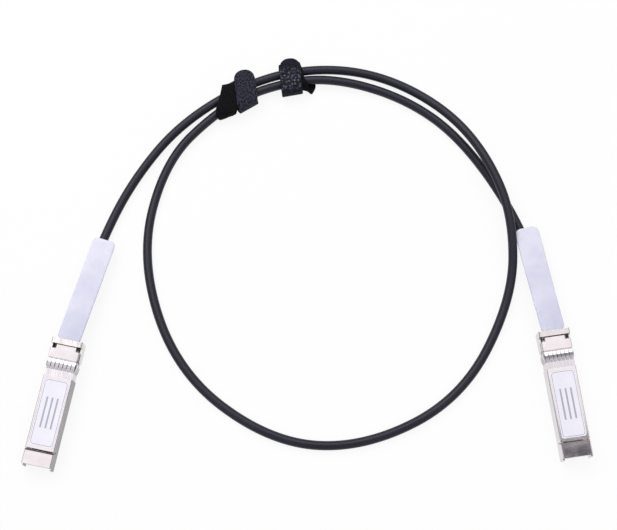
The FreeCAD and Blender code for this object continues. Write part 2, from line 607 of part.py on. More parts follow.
def latch_slider(plug):
    """Folded yoke: bridge over the tongue, arm down each side, plate below with two tines."""
    name = "Slider" + plug.letter.upper()
    bridge = section_pad(name + "Bridge", both_sides([(ARM_OUTER, BOTTOM), (ARM_OUTER, SHOULDER_TOP)]),
                         ("(-tail_reach)", BRIDGE_END))
    dress("Fillet", bridge, "Radius", "bend_round",
          lambda edge: runs_along(edge, Vector(0, 1, 0)) and at_height(edge, SHOULDER_TOP))
    arms = section_pad(name + "Arms", both_sides([(ARM_OUTER, BOTTOM), (ARM_OUTER, ARM_TOP)]), (BRIDGE_END, ARM_END))
    yoke = cut(name + "Yoke", fuse(name + "Solid", [bridge, arms]), [
        mirrored_box(name + "Inside", ARM_INNER, (f"-tail_reach - {PAST}", f"{ARM_END} + {PAST}"),
                     (f"{BOTTOM} + slider_sheet", f"{SHOULDER_TOP} - slider_sheet")),
    ])
    tine_inner = "(cavity_width / 2 - slider_gap - tine_width)"
    tine_outer = "(cavity_width / 2 - slider_gap)"
    profile = [
        (ARM_END, BOTTOM), (ARM_END, f"{BOTTOM} + slider_sheet"), ("tine_reach", f"{BOTTOM} + slider_sheet"),
        ("tine_reach - slider_sheet", BOTTOM),
    ]
    tines = [
        side_pad(name + "TineR", profile, (tine_inner, tine_outer)),
        side_pad(name + "TineL", profile, (f"(-{tine_outer})", f"(-{tine_inner})")),
    ]
    lug_up = (f"{BOTTOM} + pocket_low + slider_gap", f"{BOTTOM} + pocket_low + pocket_height - slider_gap")
    lugs = [
        box(name + side, across, ("-lug_back", LUG_END), lug_up)
        for side, across in (("LugL", (f"-{ARM_INNER}", f"lug_reach - {ARM_INNER}")),
                             ("LugR", (f"{ARM_INNER} - lug_reach", ARM_INNER)))
    ]
    place("latch_slider", fuse(name, [yoke] + tines + lugs), plug)


def return_springs(plug):
    """Two folded strip springs between the housing's pockets and the slider's lugs."""
    name = "Spring" + plug.letter.upper()
    legs = int(value("spring_leg_count"))
    near = f"({TAIL_HALF} - lug_reach + slider_gap)"
    far = f"({TAIL_HALF} - slider_gap - spring_strip)"
    low = f"({BOTTOM} + pocket_low + (pocket_height - spring_height) / 2)"
    inner = [
        (near if i % 2 else far, f"{POCKET_START} + spring_length * {i} / spring_leg_count")
        for i in range(legs + 1)
    ]
    outer = [(f"({x} + spring_strip)", station) for x, station in reversed(inner)]
    up = (low, f"({low} + spring_height)")
    right = plan_pad(name + "R", inner + outer, up)
    left = plan_pad(name + "L", [(f"-{x}", station) for x, station in inner + outer], up)
    place("return_springs", group(name, [right, left]), plug)


def pull_tab(plug):
    """Flexible strip bonded under the slider's bridge, lying back over the cable a little askew."""
    name = "Tab" + plug.letter.upper()
    root_top = f"({SHOULDER_TOP} - slider_sheet)"
    pivot = f"({BRIDGE_END} - bridge_depth / 2)"
    root = f"({BRIDGE_END} - tab_root_gap - {pivot})"
    bend = f"(-tail_reach - tab_flat - {pivot})"
    far = f"(-tail_reach - tab_length - {pivot})"
    top = [(root, root_top), (bend, root_top), (far, f"{root_top} - tab_drop")]
    low = [(s, f"{z} - tab_thickness") for s, z in reversed(top)]
    strip = side_pad(name + "Strip", top + low, ("(-tab_width / 2)", "(tab_width / 2)"))
    dress("Fillet", strip, "Radius", "tab_round",
          lambda edge: runs_along(edge, Vector(0, 0, 1)) and edge.CenterOfMass.y > value("tab_length / 2"))
    strip.Placement.Rotation = Rotation(Vector(0, 0, 1), 1)
    bind(strip, "Placement.Base.y", f"-({pivot})")
    bind(strip, "Placement.Rotation.Angle", plug.tab_turn)
    place("pull_tab", group(name, [strip]), plug)


# ---------------------------------------------------------------- card and cable end

def paddle_card(plug):
    """Circuit card on the rib and the sill, its edge inside the mouth."""
    name = "Card" + plug.letter.upper()
    edge_half = "card_edge_width / 2"
    body = plan_pad(name, both_sides([
        ("card_width / 2", "card_start"), ("card_width / 2", CARD_NECK), (edge_half, CARD_NECK),
        (edge_half, "card_reach - card_bevel"), (f"{edge_half} - card_bevel", "card_reach"),
    ]), (CARD_LOW, CARD_TOP))
    place("paddle_card", body, plug)


def card_contacts(plug):
    """Gold contacts on both faces of the card's edge."""
    name = "Contact" + plug.letter.upper()
    along = ("card_reach - contact_inset - contact_length", "card_reach - contact_inset")
    contacts = []
    for i in range(int(value("contact_count"))):
        middle = f"({i} - (contact_count - 1) / 2) * contact_pitch"
        across = (f"({middle} - contact_width / 2)", f"({middle} + contact_width / 2)")
        contacts.append(box(f"{name}Top{i}", across, along, (CARD_TOP, f"{CARD_TOP} + contact_sheet")))
        contacts.append(box(f"{name}Low{i}", across, along, (f"{CARD_LOW} - contact_sheet", CARD_LOW)))
    place("card_contacts", group(name, contacts), plug)


def card_components(plug):
    """Memory chip and the row of capacitors in front of it."""
    name = "Chip" + plug.letter.upper()
    half = "chip_size / 2"
    solids = [mirrored_box(name + "Memory", f"({half})", (f"chip_station - {half}", f"chip_station + {half}"),
                           (CARD_TOP, f"{CARD_TOP} + chip_height"))]
    for i, pair in enumerate(("-pair_outer", "-pair_inner", "pair_inner", "pair_outer")):
        across = (f"{pair} - filter_width / 2", f"{pair} + filter_width / 2")
        solids.append(box(f"{name}Filter{i}", across, ("filter_station", "filter_station + filter_length"),
                          (CARD_TOP, f"{CARD_TOP} + filter_width")))
    place("card_components", group(name, solids), plug)


def wire_pairs(plug):
    """Shielded pairs from the potting block to the card, either side of the screw post."""
    name = "Pair" + plug.letter.upper()
    pairs = [
        box(f"{name}{i}", (f"{middle} - pair_width / 2", f"{middle} + pair_width / 2"), (MOULD_END, "pair_end"),
            (CARD_TOP, f"{CARD_TOP} + pair_height"))
        for i, middle in enumerate(("-pair_outer", "-pair_inner", "pair_inner", "pair_outer"))
    ]
    place("wire_pairs", group(name, pairs), plug)


def inner_mould(plug):
    name = "Mould" + plug.letter.upper()
    half = f"({INNER_HALF} - mould_gap)"
    section = both_sides([(half, FLOOR), (half, f"{BOTTOM} + mould_height")])
    block = section_pad(name, section, (FERRULE_END, MOULD_END))
    place("inner_mould", block, plug)


def crimp_ferrule(plug):
    name = "Ferrule" + plug.letter.upper()
    ring = rod(name + "Rod", "ferrule_diameter / 2", (FERRULE_START, FERRULE_END))
    place("crimp_ferrule", group(name, [ring]), plug)


def cable_grommet(plug):
    """Flanged ring that seals the cable in the tail wall."""
    name = "Grommet" + plug.letter.upper()
    start = f"({TAIL_FACE} - grommet_out)"
    flange_start = f"({TAIL_FACE} + grommet_wall)"
    neck = rod(name + "Neck", "grommet_neck / 2", (start, flange_start))
    flange = rod(name + "Flange", "grommet_flange / 2", (flange_start, f"{flange_start} + flange_depth"))
    bore = rod(name + "Bore", "cable_diameter / 2 + cable_gap",
               (f"{start} - {PAST}", f"{flange_start} + flange_depth + {PAST}"))
    place("cable_grommet", cut(name, fuse(name + "Solid", [neck, flange]), [bore]), plug)


# ---------------------------------------------------------------- cable and straps

HAND = "(strap_sheet + strap_gap + cable_diameter / 2)"  # cable axis inside a strap
LAID = value("cable_diameter") / 2  # cable axis on the surface
HELD = value(HAND)
OVER = LAID + value("cable_diameter") + 3.0  # upper strand where the ends of the loop cross

# Route of the cable's axis between the two straight inlets, from plug A to plug B
ROUTE = [
    (2.0, 59.0, LAID), (9.5, 93.5, LAID), (26.0, 127.0, HELD), (56.0, 155.5, HELD), (87.0, 168.0, HELD),
    (117.5, 169.5, LAID), (148.5, 158.0, 4.2), (170.5, 137.5, OVER), (187.0, 111.0, OVER), (194.0, 74.5, LAID),
    (179.5, 24.5, LAID), (140.5, -6.5, LAID), (99.0, -12.5, LAID), (50.5, 10.0, LAID), (22.0, 58.5, LAID),
    (22.5, 106.5, LAID), (41.5, 136.0, HELD), (60.5, 151.8, HELD), (88.0, 163.5, HELD), (125.5, 161.5, LAID),
    (157.5, 146.5, LAID), (191.5, 111.0, LAID),
]


def inlet_points(plug):
    """The jacket's end in the plug and the end of its straight run outside."""
    turn = math.radians(value(plug.turn))
    tailward = Vector(-math.sin(turn), math.cos(turn), 0)
    datum = Vector(value(plug.x), value(plug.y), value(PARTING))
    inner = value("inlet_start")
    return [datum + tailward * inner, datum + tailward * (inner + value("inlet_run"))]


def cable():
    """Round tube along straight runs joined by tangent arcs."""
    start, end = (inlet_points(plug) for plug in PLUGS)
    points = start + [Vector(*point) for point in ROUTE] + end[::-1]
    edges = []
    radii = []
    here = points[0]
    for before, corner, after in zip(points, points[1:], points[2:]):
        back, ahead = before - corner, after - corner
        trim = 0.45 * min(back.Length, ahead.Length)
        half_turn = (math.pi - back.getAngle(ahead)) / 2
        radius = trim / math.tan(half_turn)
        enter = corner + back.normalize() * trim
        leave = corner + ahead.normalize() * trim
        inward = (back + ahead).normalize()
        middle = corner + inward * (radius / math.cos(half_turn) - radius)
        edges.append(Part.LineSegment(here, enter).toShape())
        edges.append(Part.Arc(enter, middle, leave).toShape())
        radii.append(radius)
        here = leave
    edges.append(Part.LineSegment(here, points[-1]).toShape())
    spine = Part.Wire(edges)
    ring = Part.Circle(points[0], points[1] - points[0], value("cable_diameter") / 2)
    tube = doc.addObject("Part::Feature", "Cable")
    tube.Shape = spine.makePipeShell([Part.Wire([ring.toShape()])], True, False)
    tube.Label = "cable"
    pieces["cable"] = tube
    section = math.pi * value("cable_diameter") ** 2 / 4
    fullness = tube.Shape.Volume / section / spine.Length
    print("cable radii", " ".join(f"{radius:.0f}" for radius in radii))
    print(f"cable length {spine.Length:.1f}, volume / (section x length) {fullness:.4f}")


def oval(name, half_length, radius, along):
    """A bar of long round-ended section, as wide as the strap, lying across the cables."""
    middle = f"({half_length} - {radius})"
    centre_height = "(strap_sheet + strap_gap + cable_diameter / 2)"
    bar = box(name + "Bar", (f"-{middle}", middle), along, (f"{centre_height} - {radius}", f"{centre_height} + {radius}"))
    ends = []
    for side, x in (("R", middle), ("L", f"-{middle}")):
        end = rod(name + side, radius, along, centre_height)
        bind(end, "Placement.Base.x", x)
        ends.append(end)
    return fuse(name, [bar] + ends)


def wrap(name, length):
    """Strap wound once round both strands: a flat oval sleeve."""
    along = ("(-strap_width / 2)", "(strap_width / 2)")
    inner_radius = "(cable_diameter / 2 + strap_gap)"
    outer_radius = "(cable_diameter / 2 + strap_gap + strap_sheet)"
    outer = oval(name + "Outer", f"({length} / 2)", outer_radius, along)
    inner = oval(name + "Inner", f"({length} / 2 - strap_sheet)", inner_radius,
                 (f"({along[0]} - {PAST})", f"({along[1]} + {PAST})"))
    return cut(name, outer, [inner])


def turned(thing, x, y, turn):
    """Sets a strap's piece with its width along the cable's heading."""
    thing.Placement.Rotation = Rotation(Vector(0, 0, 1), value(turn) + 90)
    bind(thing, "Placement.Base.x", x)
    bind(thing, "Placement.Base.y", y)
    bind(thing, "Placement.Rotation.Angle", f"{turn} + 90")
    return thing


def free_end(name):
    """The strap's last stretch, flat on its wrap, with a rounded tip."""
    wrap_top = "(2 * strap_sheet + 2 * strap_gap + cable_diameter)"
    end = plan_pad(name, both_sides([
        ("end_length / 2", "(-strap_width / 2)"), ("end_length / 2", "(strap_width / 2)"),
    ]), (wrap_top, f"({wrap_top} + strap_sheet)"))
    return dress("Fillet", end, "Radius", "end_round",
                 lambda edge: runs_along(edge, Vector(0, 0, 1)) and edge.CenterOfMass.x > 0)


def straps():
    """Two hook-and-loop straps, each wound round both strands and closed by its free end."""
    for number in (1, 2):
        sleeve = turned(wrap(f"Wrap{number}", f"wrap_{number}_length"),
                        f"strap_{number}_x", f"strap_{number}_y", f"strap_{number}_turn")
        end = turned(free_end(f"End{number}"), f"end_{number}_x", f"end_{number}_y", f"end_{number}_turn")
        strap = fuse(f"Strap{number}", [sleeve, end])
        strap.Label = f"strap_{number}"
        pieces[strap.Label] = strap


for plug in PLUGS:
    for build in (base_shell, top_cover, label, emi_gasket, cover_screw, latch_slider, return_springs, pull_tab,
                  paddle_card, card_contacts, card_components, wire_pairs, inner_mould, crimp_ferrule, cable_grommet):
        build(plug)
cable()
straps()
doc.recompute()

for thing in doc.Objects:
    if "Invalid" in thing.State or "Error" in thing.State:
        raise RuntimeError(f"{thing.Label} failed: {thing.State}")
for node, thing in pieces.items():
    if thing.Shape.isNull() or not thing.Shape.isValid() or not thing.Shape.Solids:
        raise RuntimeError(f"{node} has no sound shape")

os.makedirs("parts", exist_ok=True)
for node, thing in pieces.items():
    thing.Shape.exportStep(f"parts/{node}.step")
print(len(pieces), "pieces written")
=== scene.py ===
# %% [markdown]
# # A direct attach copper cable, dressed in Blender
#
# The object is a short network lead: two die-cast plugs joined by one round twin-axial
# cable, with a soft pull tab on each plug and two hook-and-loop straps that keep the loop
# tidy. The solid model comes from CAD as a fixed frame. This lesson keeps its metal pieces
# as they are and gives them surfaces. It makes seven pieces again: the cable as a curve, the
# two straps as wound tape, the two pull tabs as moulded strips and the two plugs' return
# springs as folded steel.

# %% Load the frame
import json
import math

import bmesh
import bpy
from mathutils import Matrix, Vector, noise


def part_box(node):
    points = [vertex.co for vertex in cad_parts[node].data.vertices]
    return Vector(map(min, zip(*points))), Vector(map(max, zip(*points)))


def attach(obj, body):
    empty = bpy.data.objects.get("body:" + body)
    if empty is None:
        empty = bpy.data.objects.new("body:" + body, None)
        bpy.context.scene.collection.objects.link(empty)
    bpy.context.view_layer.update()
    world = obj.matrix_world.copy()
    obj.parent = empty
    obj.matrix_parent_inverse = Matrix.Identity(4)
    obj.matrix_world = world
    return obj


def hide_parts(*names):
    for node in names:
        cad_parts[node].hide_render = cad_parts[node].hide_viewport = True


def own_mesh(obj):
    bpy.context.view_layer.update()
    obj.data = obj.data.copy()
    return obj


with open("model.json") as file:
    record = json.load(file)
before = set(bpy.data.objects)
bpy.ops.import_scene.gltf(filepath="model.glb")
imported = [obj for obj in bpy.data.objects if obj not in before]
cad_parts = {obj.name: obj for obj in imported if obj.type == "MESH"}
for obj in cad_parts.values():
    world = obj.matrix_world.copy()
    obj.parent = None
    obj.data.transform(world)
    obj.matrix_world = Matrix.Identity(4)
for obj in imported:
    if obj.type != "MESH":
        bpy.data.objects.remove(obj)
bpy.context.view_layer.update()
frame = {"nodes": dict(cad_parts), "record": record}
nodes = frame["nodes"]
print("nodes:", len(nodes))

# %% [markdown]
# ## Units and colours
#
# Blender counts in metres and mixes colour in linear light, but a maker thinks in
# millimetres and reads a colour as a hex value. Two small functions do the changing, so
# every size and colour below is written the way a maker writes it.

# %% Millimetres and hex colours
def mm(*sizes):
    """Millimetres to metres, one number or several."""
    metres = [size / 1000 for size in sizes]
    return metres[0] if len(metres) == 1 else metres


def linear(hex_colour):
    """An sRGB hex colour, such as #212130, as the linear RGBA that nodes use."""
    parts = [int(hex_colour[i:i + 2], 16) / 255 for i in (1, 3, 5)]
    light = [c / 12.92 if c <= 0.04045 else ((c + 0.055) / 1.055) ** 2.4 for c in parts]
    return light + [1.0]


print("jacket charcoal in linear light:", [round(c, 3) for c in linear("#212130")[:3]])

# %% [markdown]
# ## Where the camera stands
#
# The lead lies on a table and is seen from almost straight above, from 0.65 m, with the
# view turned a little against the plug. A camera could be turned by three angles, but these
# say little to a reader. Here it takes its place from three vectors: where it stands, what
# it looks at, and which way is up in its view. A long lens on Blender's default 36 mm wide
# sensor gives the narrow angle of a camera that stands well back.

# %% Camera
EYE = Vector(mm(131.2, -84.5, 626.0))
TARGET = Vector(mm(98.84, 71.75, 0))
VIEW_UP = Vector((-0.2028, 0.9792, 0))
LENS = 81.3

back = (EYE - TARGET).normalized()
right = VIEW_UP.cross(back).normalized()
up = back.cross(right)
camera = bpy.data.objects.new("camera", bpy.data.cameras.new("camera"))
camera.matrix_world = Matrix.Translation(EYE) @ Matrix((right, up, back)).transposed().to_4x4()
camera.data.lens = LENS
camera.data.sensor_width = 36
bpy.context.scene.collection.objects.link(camera)
bpy.context.scene.camera = camera
print(f"camera stands {(EYE - TARGET).length * 1000:.0f} mm from the lead")

# %% [markdown]
# ## Nodes without the clutter
#
# A material is a graph. It could be wired by hand in the shader editor, but then nobody can
# read how it was made. One function adds a node with its settings and the links that feed
# it, and returns it, so that a material reads from top to bottom like a recipe. A colour
# ramp also takes its stops, because they are neither settings nor sockets.

# %% One helper for every node
def add(tree, kind, inputs=None, stops=(), **settings):
    """Add a node. A value in inputs is a constant, or the (node, output) that feeds the socket.

    stops: (position, hex colour) pairs of a colour ramp.
    """
    node = tree.nodes.new("ShaderNode" + kind)
    for name, value in settings.items():
        setattr(node, name, value)
    for socket, value in (inputs or {}).items():
        if isinstance(value, tuple) and isinstance(value[0], bpy.types.Node):
            tree.links.new(value[0].outputs[value[1]], node.inputs[socket])
        else:
            node.inputs[socket].default_value = value
    while stops and len(node.color_ramp.elements) < len(stops):
        node.color_ramp.elements.new(0.5)
    for k, (position, colour) in enumerate(stops):
        node.color_ramp.elements[k].position = position
        node.color_ramp.elements[k].color = linear(colour)
    return node


def new_material(name):
    """An empty material, its tree and its shader, ready for inputs."""
    material = bpy.data.materials.new(name)
    material.use_nodes = True
    tree = material.node_tree
    tree.nodes.clear()
    shader = add(tree, "BsdfPrincipled")
    add(tree, "OutputMaterial", {"Surface": (shader, "BSDF")})
    return material, tree, shader


print("helpers:", add.__name__, new_material.__name__)

# %% [markdown]
# ## Where each plug lies
#
# Both plugs are the same piece, laid down twice. Their places could be typed here, but the
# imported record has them: it gives both latch shoulders as mounts, a place and the direction
# of the nose. From these come a way to place a point on a plug, in millimetres across it,
# along it and above the table, and a texture space in millimetres that lies along the plug,
# so that a border on a label or the grain of a casting is as large as on the real piece.

# %% Plug axes
SHOULDERS = {}
for mount in frame["record"]["mounts"]:
    if mount["kind"] == "slide":
        nose = Vector(mount["axis"])
        turn = math.atan2(nose.x, -nose.y)
        SHOULDERS[mount["name"][-1]] = (Vector(mount["pos_m"]), turn)


def on_plug(letter, across, station, height):
    """A point on a plug, from millimetres across, from the shoulder to the nose, and up."""
    origin, turn = SHOULDERS[letter]
    x, y, z = mm(across, -station, height)
    return Vector((origin.x + x * math.cos(turn) - y * math.sin(turn),
                   origin.y + x * math.sin(turn) + y * math.cos(turn), z))


def plug_space(tree, letter):
    """Texture coordinates in millimetres: x across the plug, -y towards the nose, z up."""
    origin, turn = SHOULDERS[letter]
    place = add(tree, "TexCoord")
    return add(tree, "Mapping", {
        "Vector": (place, "Object"), "Location": (origin.x, origin.y, 0),
        "Rotation": (0, 0, turn), "Scale": (0.001, 0.001, 0.001)}, vector_type="TEXTURE")


for letter, (origin, turn) in SHOULDERS.items():
    print(f"plug {letter}: shoulder at {origin.x * 1000:.1f}, {origin.y * 1000:.1f} mm,",
          f"turned {math.degrees(turn):.1f} degrees")

# %% [markdown]
# ## Die-cast housings
#
# The housings are zinc, die-cast and plated with bright nickel. One even metal would look
# like a toy, and a scan of a real casting would need a file. So the plating is built from
# what the process leaves. It follows the casting's faintly uneven skin, so its mirror is a
# little soft: metallic 1, a roughness near 0.1 that drifts in patches of 4 mm, and a shallow
# bump from grain of 0.45 mm. The walls slid out of the die, so they are rougher and carry
# drag lines. Their darker tone is partly a duller as-cast finish and partly painted shade,
# much darker on plug A than on plug B. Nickel is a warm grey; a metal keeps the default IOR.

# %% Nickel-plated zinc
PATCH = 4.0  # mm
DRAG_LINES = (2.0, 0.12, 2.0)  # to the millimetre: 0.5 mm apart and 8 mm long


def nickel_plated_zinc(letter, wall_shade_tone):
    """Bright tumbled tops, and walls with drag lines from the die in a darker wall tone: partly a
    duller as-cast finish, partly painted shade.
    """
    material, tree, shader = new_material(f"nickel_plated_zinc_{letter}")
    space = plug_space(tree, letter)
    place = add(tree, "TexCoord")
    patches = add(tree, "TexNoise", {"Vector": (space, "Vector"), "Scale": 1 / PATCH,
                                     "Detail": 3.0})
    grain = add(tree, "TexNoise", {"Vector": (space, "Vector"), "Scale": 2.2, "Detail": 3.0})
    tumbled = add(tree, "ValToRGB", {"Fac": (patches, "Fac")},
                  stops=[(0.3, "#D9D3D4"), (0.7, "#E2DDDE")])
    facing = add(tree, "SeparateXYZ", {"Vector": (place, "Normal")})
    wall = add(tree, "MapRange", {"Value": (facing, "Z"), "From Min": 0.6, "From Max": 0.1})
    squeeze = add(tree, "VectorMath", {0: (space, "Vector"), 1: DRAG_LINES},
                  operation="MULTIPLY")
    lines = add(tree, "TexNoise", {"Vector": (squeeze, "Vector"), "Scale": 1.0, "Detail": 4.0})
    shade = add(tree, "MapRange", {"Value": (lines, "Fac"), "From Min": 0.3, "From Max": 0.7,
                                   "To Min": 0.84, "To Max": 1.1})
    # The wall tone is partly a duller as-cast finish and partly painted shade.
    drag_lines_and_shade = add(tree, "HueSaturation", {"Color": linear(wall_shade_tone),
                                          "Value": (shade, "Result")})
    colour = add(tree, "MixRGB", {"Fac": (wall, "Result"), "Color1": (tumbled, "Color"),
                                  "Color2": (drag_lines_and_shade, "Color")})
    polish = add(tree, "MapRange", {"Value": (patches, "Fac"), "From Min": 0.3, "From Max": 0.7,
                                    "To Min": 0.08, "To Max": 0.13})
    drag = add(tree, "Math", {0: (wall, "Result"), 1: 0.2}, operation="MULTIPLY")
    rough = add(tree, "Math", {0: (polish, "Result"), 1: (drag, "Value")}, operation="ADD")
    bump = add(tree, "Bump", {"Height": (grain, "Fac"), "Strength": 0.2, "Distance": mm(0.02)})
    tree.links.new(colour.outputs["Color"], shader.inputs["Base Color"])
    tree.links.new(rough.outputs["Value"], shader.inputs["Roughness"])
    tree.links.new(bump.outputs["Normal"], shader.inputs["Normal"])
    shader.inputs["Metallic"].default_value = 1.0
    return material


# Plug A's walls are painted dark grey as shade; plug B's walls, from the same casting, stay nearly
# as bright as its tops.
ZINC = {"a": nickel_plated_zinc("a", "#8A878C"), "b": nickel_plated_zinc("b", "#E3DFE1")}
print([material.name for material in ZINC.values()])

# %% [markdown]
# ## Rolled and stamped steel
#
# The latch slider, the spring-finger collar and the springs are folded from thin steel, and
# the screws are steel too. Rolling leaves fine lines along the sheet. An anisotropic shader
# would smear its highlights along them; noise that is stretched along the plug, ten times
# finer across than along, draws the lines themselves, as a drift of colour and roughness and
# as a bump. They are 0.4 mm apart, coarser than real ones, because finer ones would not show.

# %% Steels
ROLLING_LINES = (2.5, 0.25, 2.5)  # to the millimetre: 0.4 mm apart and 4 mm long


def nose_of(letter):
    """The direction in which a plug's nose points."""
    turn = SHOULDERS[letter][1]
    return math.sin(turn), -math.cos(turn), 0


def rolled_steel(name, letter, dark, light, roughness, nose_slope_shade=None):
    """Steel that drifts from dark to light along the sheet.

    The optional last argument: the dark and the light tone painted on slopes that face the nose,
    as painted shade where the bent spring fingers turn away from the light, broken up by grain.
    """
    material, tree, shader = new_material(f"{name}_{letter}")
    place = plug_space(tree, letter)
    squeeze = add(tree, "VectorMath", {0: (place, "Vector"), 1: ROLLING_LINES},
                  operation="MULTIPLY")
    lines = add(tree, "TexNoise", {"Vector": (squeeze, "Vector"), "Scale": 1.0, "Detail": 4.0})
    colour = add(tree, "ValToRGB", {"Fac": (lines, "Fac")}, stops=[(0.35, dark), (0.65, light)])
    # Slopes that face the nose are painted in darker tones: painted shade, broken up by grain.
    if nose_slope_shade:
        surface = add(tree, "TexCoord")
        lean = add(tree, "VectorMath", {0: (surface, "Normal"), 1: nose_of(letter)},
                   operation="DOT_PRODUCT")
        shaded_slope = add(tree, "MapRange", {"Value": (lean, "Value"), "From Min": 0.03, "From Max": 0.1})
        grain = add(tree, "TexNoise", {"Vector": (place, "Vector"), "Scale": 1.6, "Detail": 2.0})
        slope_shade_grain = add(tree, "ValToRGB", {"Fac": (grain, "Fac")},
                         stops=[(0.3, nose_slope_shade[0]), (0.7, nose_slope_shade[1])])
        colour = add(tree, "MixRGB", {"Fac": (shaded_slope, "Result"), "Color1": (colour, "Color"),
                                      "Color2": (slope_shade_grain, "Color")})
    rough = add(tree, "MapRange", {"Value": (lines, "Fac"), "From Min": 0.3, "From Max": 0.7,
                                   "To Min": roughness - 0.05, "To Max": roughness + 0.07})
    bump = add(tree, "Bump", {"Height": (lines, "Fac"), "Strength": 0.06, "Distance": mm(0.02)})
    tree.links.new(colour.outputs["Color"], shader.inputs["Base Color"])
    tree.links.new(rough.outputs["Result"], shader.inputs["Roughness"])
    tree.links.new(bump.outputs["Normal"], shader.inputs["Normal"])
    shader.inputs["Metallic"].default_value = 1.0
    return material


SLIDER, FINGERS, SPRING, SCREW = {}, {}, {}, {}
for letter in SHOULDERS:
    SLIDER[letter] = rolled_steel("brushed_stainless", letter, "#CFCAC9", "#DDD8D7", 0.18)
    # The fingers' second pair of tones is the painted shade on their slopes that face the nose.
    FINGERS[letter] = rolled_steel("stamped_stainless", letter, "#C9C5C8", "#DEDADD", 0.18,
                                   ("#B0ABB2", "#C6C1C7"))
    SPRING[letter] = rolled_steel("spring_steel", letter, "#8D8B8C", "#B5B2B2", 0.3)
    SCREW[letter] = rolled_steel("zinc_plated_steel", letter, "#9C9DA3", "#C4C5CA", 0.3)
print("steels:", len(SLIDER) + len(FINGERS) + len(SPRING) + len(SCREW))

# %% [markdown]
# ## The label, left bare
#
# Each plug carries a polyester label in a shallow recess. It is left without words: a thin
# border follows its rounded outline and three plain grey bars stand in the middle. An image
# could carry these, but sums in nodes stay sharp at any distance. The border comes from the
# distance to a rounded rectangle: how far a point lies outside the smaller rectangle whose
# corners are the rounding's centres. The bars come from a comb of stripes, cut to three.

# %% Printed polyester
low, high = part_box("label_a")
LABEL_MIDDLE = -(low.y + high.y) / 2 * 1000
LABEL_HALF_WIDTH, LABEL_HALF_LENGTH = (high.x - low.x) / 2 * 1000, (high.y - low.y) / 2 * 1000
LABEL_ROUND = 2.0
BORDER_INSET, BORDER_HALF = 0.6, 0.1
BAR_PITCH, BAR_HALF, BARS_HALF_WIDTH, BARS_HALF_LENGTH = 2.4, 0.4, 3.6, 7.0
ABOVE_ALL = 100.0  # mm, so high that a point's height never counts
print(f"label {LABEL_HALF_WIDTH * 2:.1f} x {LABEL_HALF_LENGTH * 2:.1f} mm,",
      f"middle {LABEL_MIDDLE:.1f} mm from the shoulder")


def label_polyester(letter):
    """White film, with a border inset from its outline and three bars in its middle."""
    material, tree, shader = new_material(f"white_polyester_{letter}")
    place = plug_space(tree, letter)
    centred = add(tree, "VectorMath", {0: (place, "Vector"), 1: (0, LABEL_MIDDLE, 0)},
                  operation="ADD")
    quarter = add(tree, "VectorMath", {0: (centred, "Vector")}, operation="ABSOLUTE")
    inner = (LABEL_HALF_WIDTH - LABEL_ROUND, LABEL_HALF_LENGTH - LABEL_ROUND, ABOVE_ALL)
    corner = add(tree, "VectorMath", {0: (quarter, "Vector"), 1: inner}, operation="SUBTRACT")
    outside = add(tree, "VectorMath", {0: (corner, "Vector"), 1: (0, 0, 0)}, operation="MAXIMUM")
    far = add(tree, "VectorMath", {0: (outside, "Vector")}, operation="LENGTH")
    sides = add(tree, "SeparateXYZ", {0: (corner, "Vector")})
    nearest = add(tree, "Math", {0: (sides, "X"), 1: (sides, "Y")}, operation="MAXIMUM")
    within = add(tree, "Math", {0: (nearest, "Value"), 1: 0.0}, operation="MINIMUM")
    reach = add(tree, "Math", {0: (far, "Value"), 1: (within, "Value")}, operation="ADD")
    border = add(tree, "Math", {0: (reach, "Value"), 1: LABEL_ROUND - BORDER_INSET,
                                2: BORDER_HALF}, operation="COMPARE")

    axes = add(tree, "SeparateXYZ", {0: (centred, "Vector")})
    lengths = add(tree, "SeparateXYZ", {0: (quarter, "Vector")})
    comb = add(tree, "Math", {0: (axes, "X"), 1: BAR_PITCH / 2, 2: -BAR_PITCH / 2},
               operation="WRAP")
    bar = add(tree, "Math", {0: (comb, "Value"), 1: 0.0, 2: BAR_HALF}, operation="COMPARE")
    three = add(tree, "Math", {0: (lengths, "X"), 1: BARS_HALF_WIDTH}, operation="LESS_THAN")
    short = add(tree, "Math", {0: (lengths, "Y"), 1: BARS_HALF_LENGTH}, operation="LESS_THAN")
    rows = add(tree, "Math", {0: (bar, "Value"), 1: (three, "Value")}, operation="MULTIPLY")
    bars = add(tree, "Math", {0: (rows, "Value"), 1: (short, "Value")}, operation="MULTIPLY")

    paper = add(tree, "TexNoise", {"Vector": (place, "Vector"), "Scale": 0.12, "Detail": 2.0})
    white = add(tree, "ValToRGB", {"Fac": (paper, "Fac")},
                stops=[(0.3, "#E7E7F1"), (0.7, "#EEEEF5")])
    lined = add(tree, "MixRGB", {"Fac": (border, "Value"), "Color1": (white, "Color"),
                                 "Color2": linear("#8F8F9C")})
    inked = add(tree, "MixRGB", {"Fac": (bars, "Value"), "Color1": (lined, "Color"),
                                 "Color2": linear("#A9AAB6")})
    tree.links.new(inked.outputs["Color"], shader.inputs["Base Color"])
    shader.inputs["Roughness"].default_value = 0.38
    shader.inputs["IOR"].default_value = 1.57
    return material


LABEL = {letter: label_polyester(letter) for letter in SHOULDERS}
print([material.name for material in LABEL.values()])

# %% [markdown]
# ## Card, gold, ceramic and the cable's ends
#
# Inside the mouth the card's edge shows: green solder mask over glass fibre, with gold on
# its contacts. Behind it are moulded chips, foil on the wire pairs, a potting block, a
# crimped ferrule and a rubber grommet. Little of them is seen, so a material for each by
# hand would be wasted. They share a recipe with one noise that drifts the colour and, where
# the surface is uneven, raises it; what differs is the tone, the grain and the gloss.

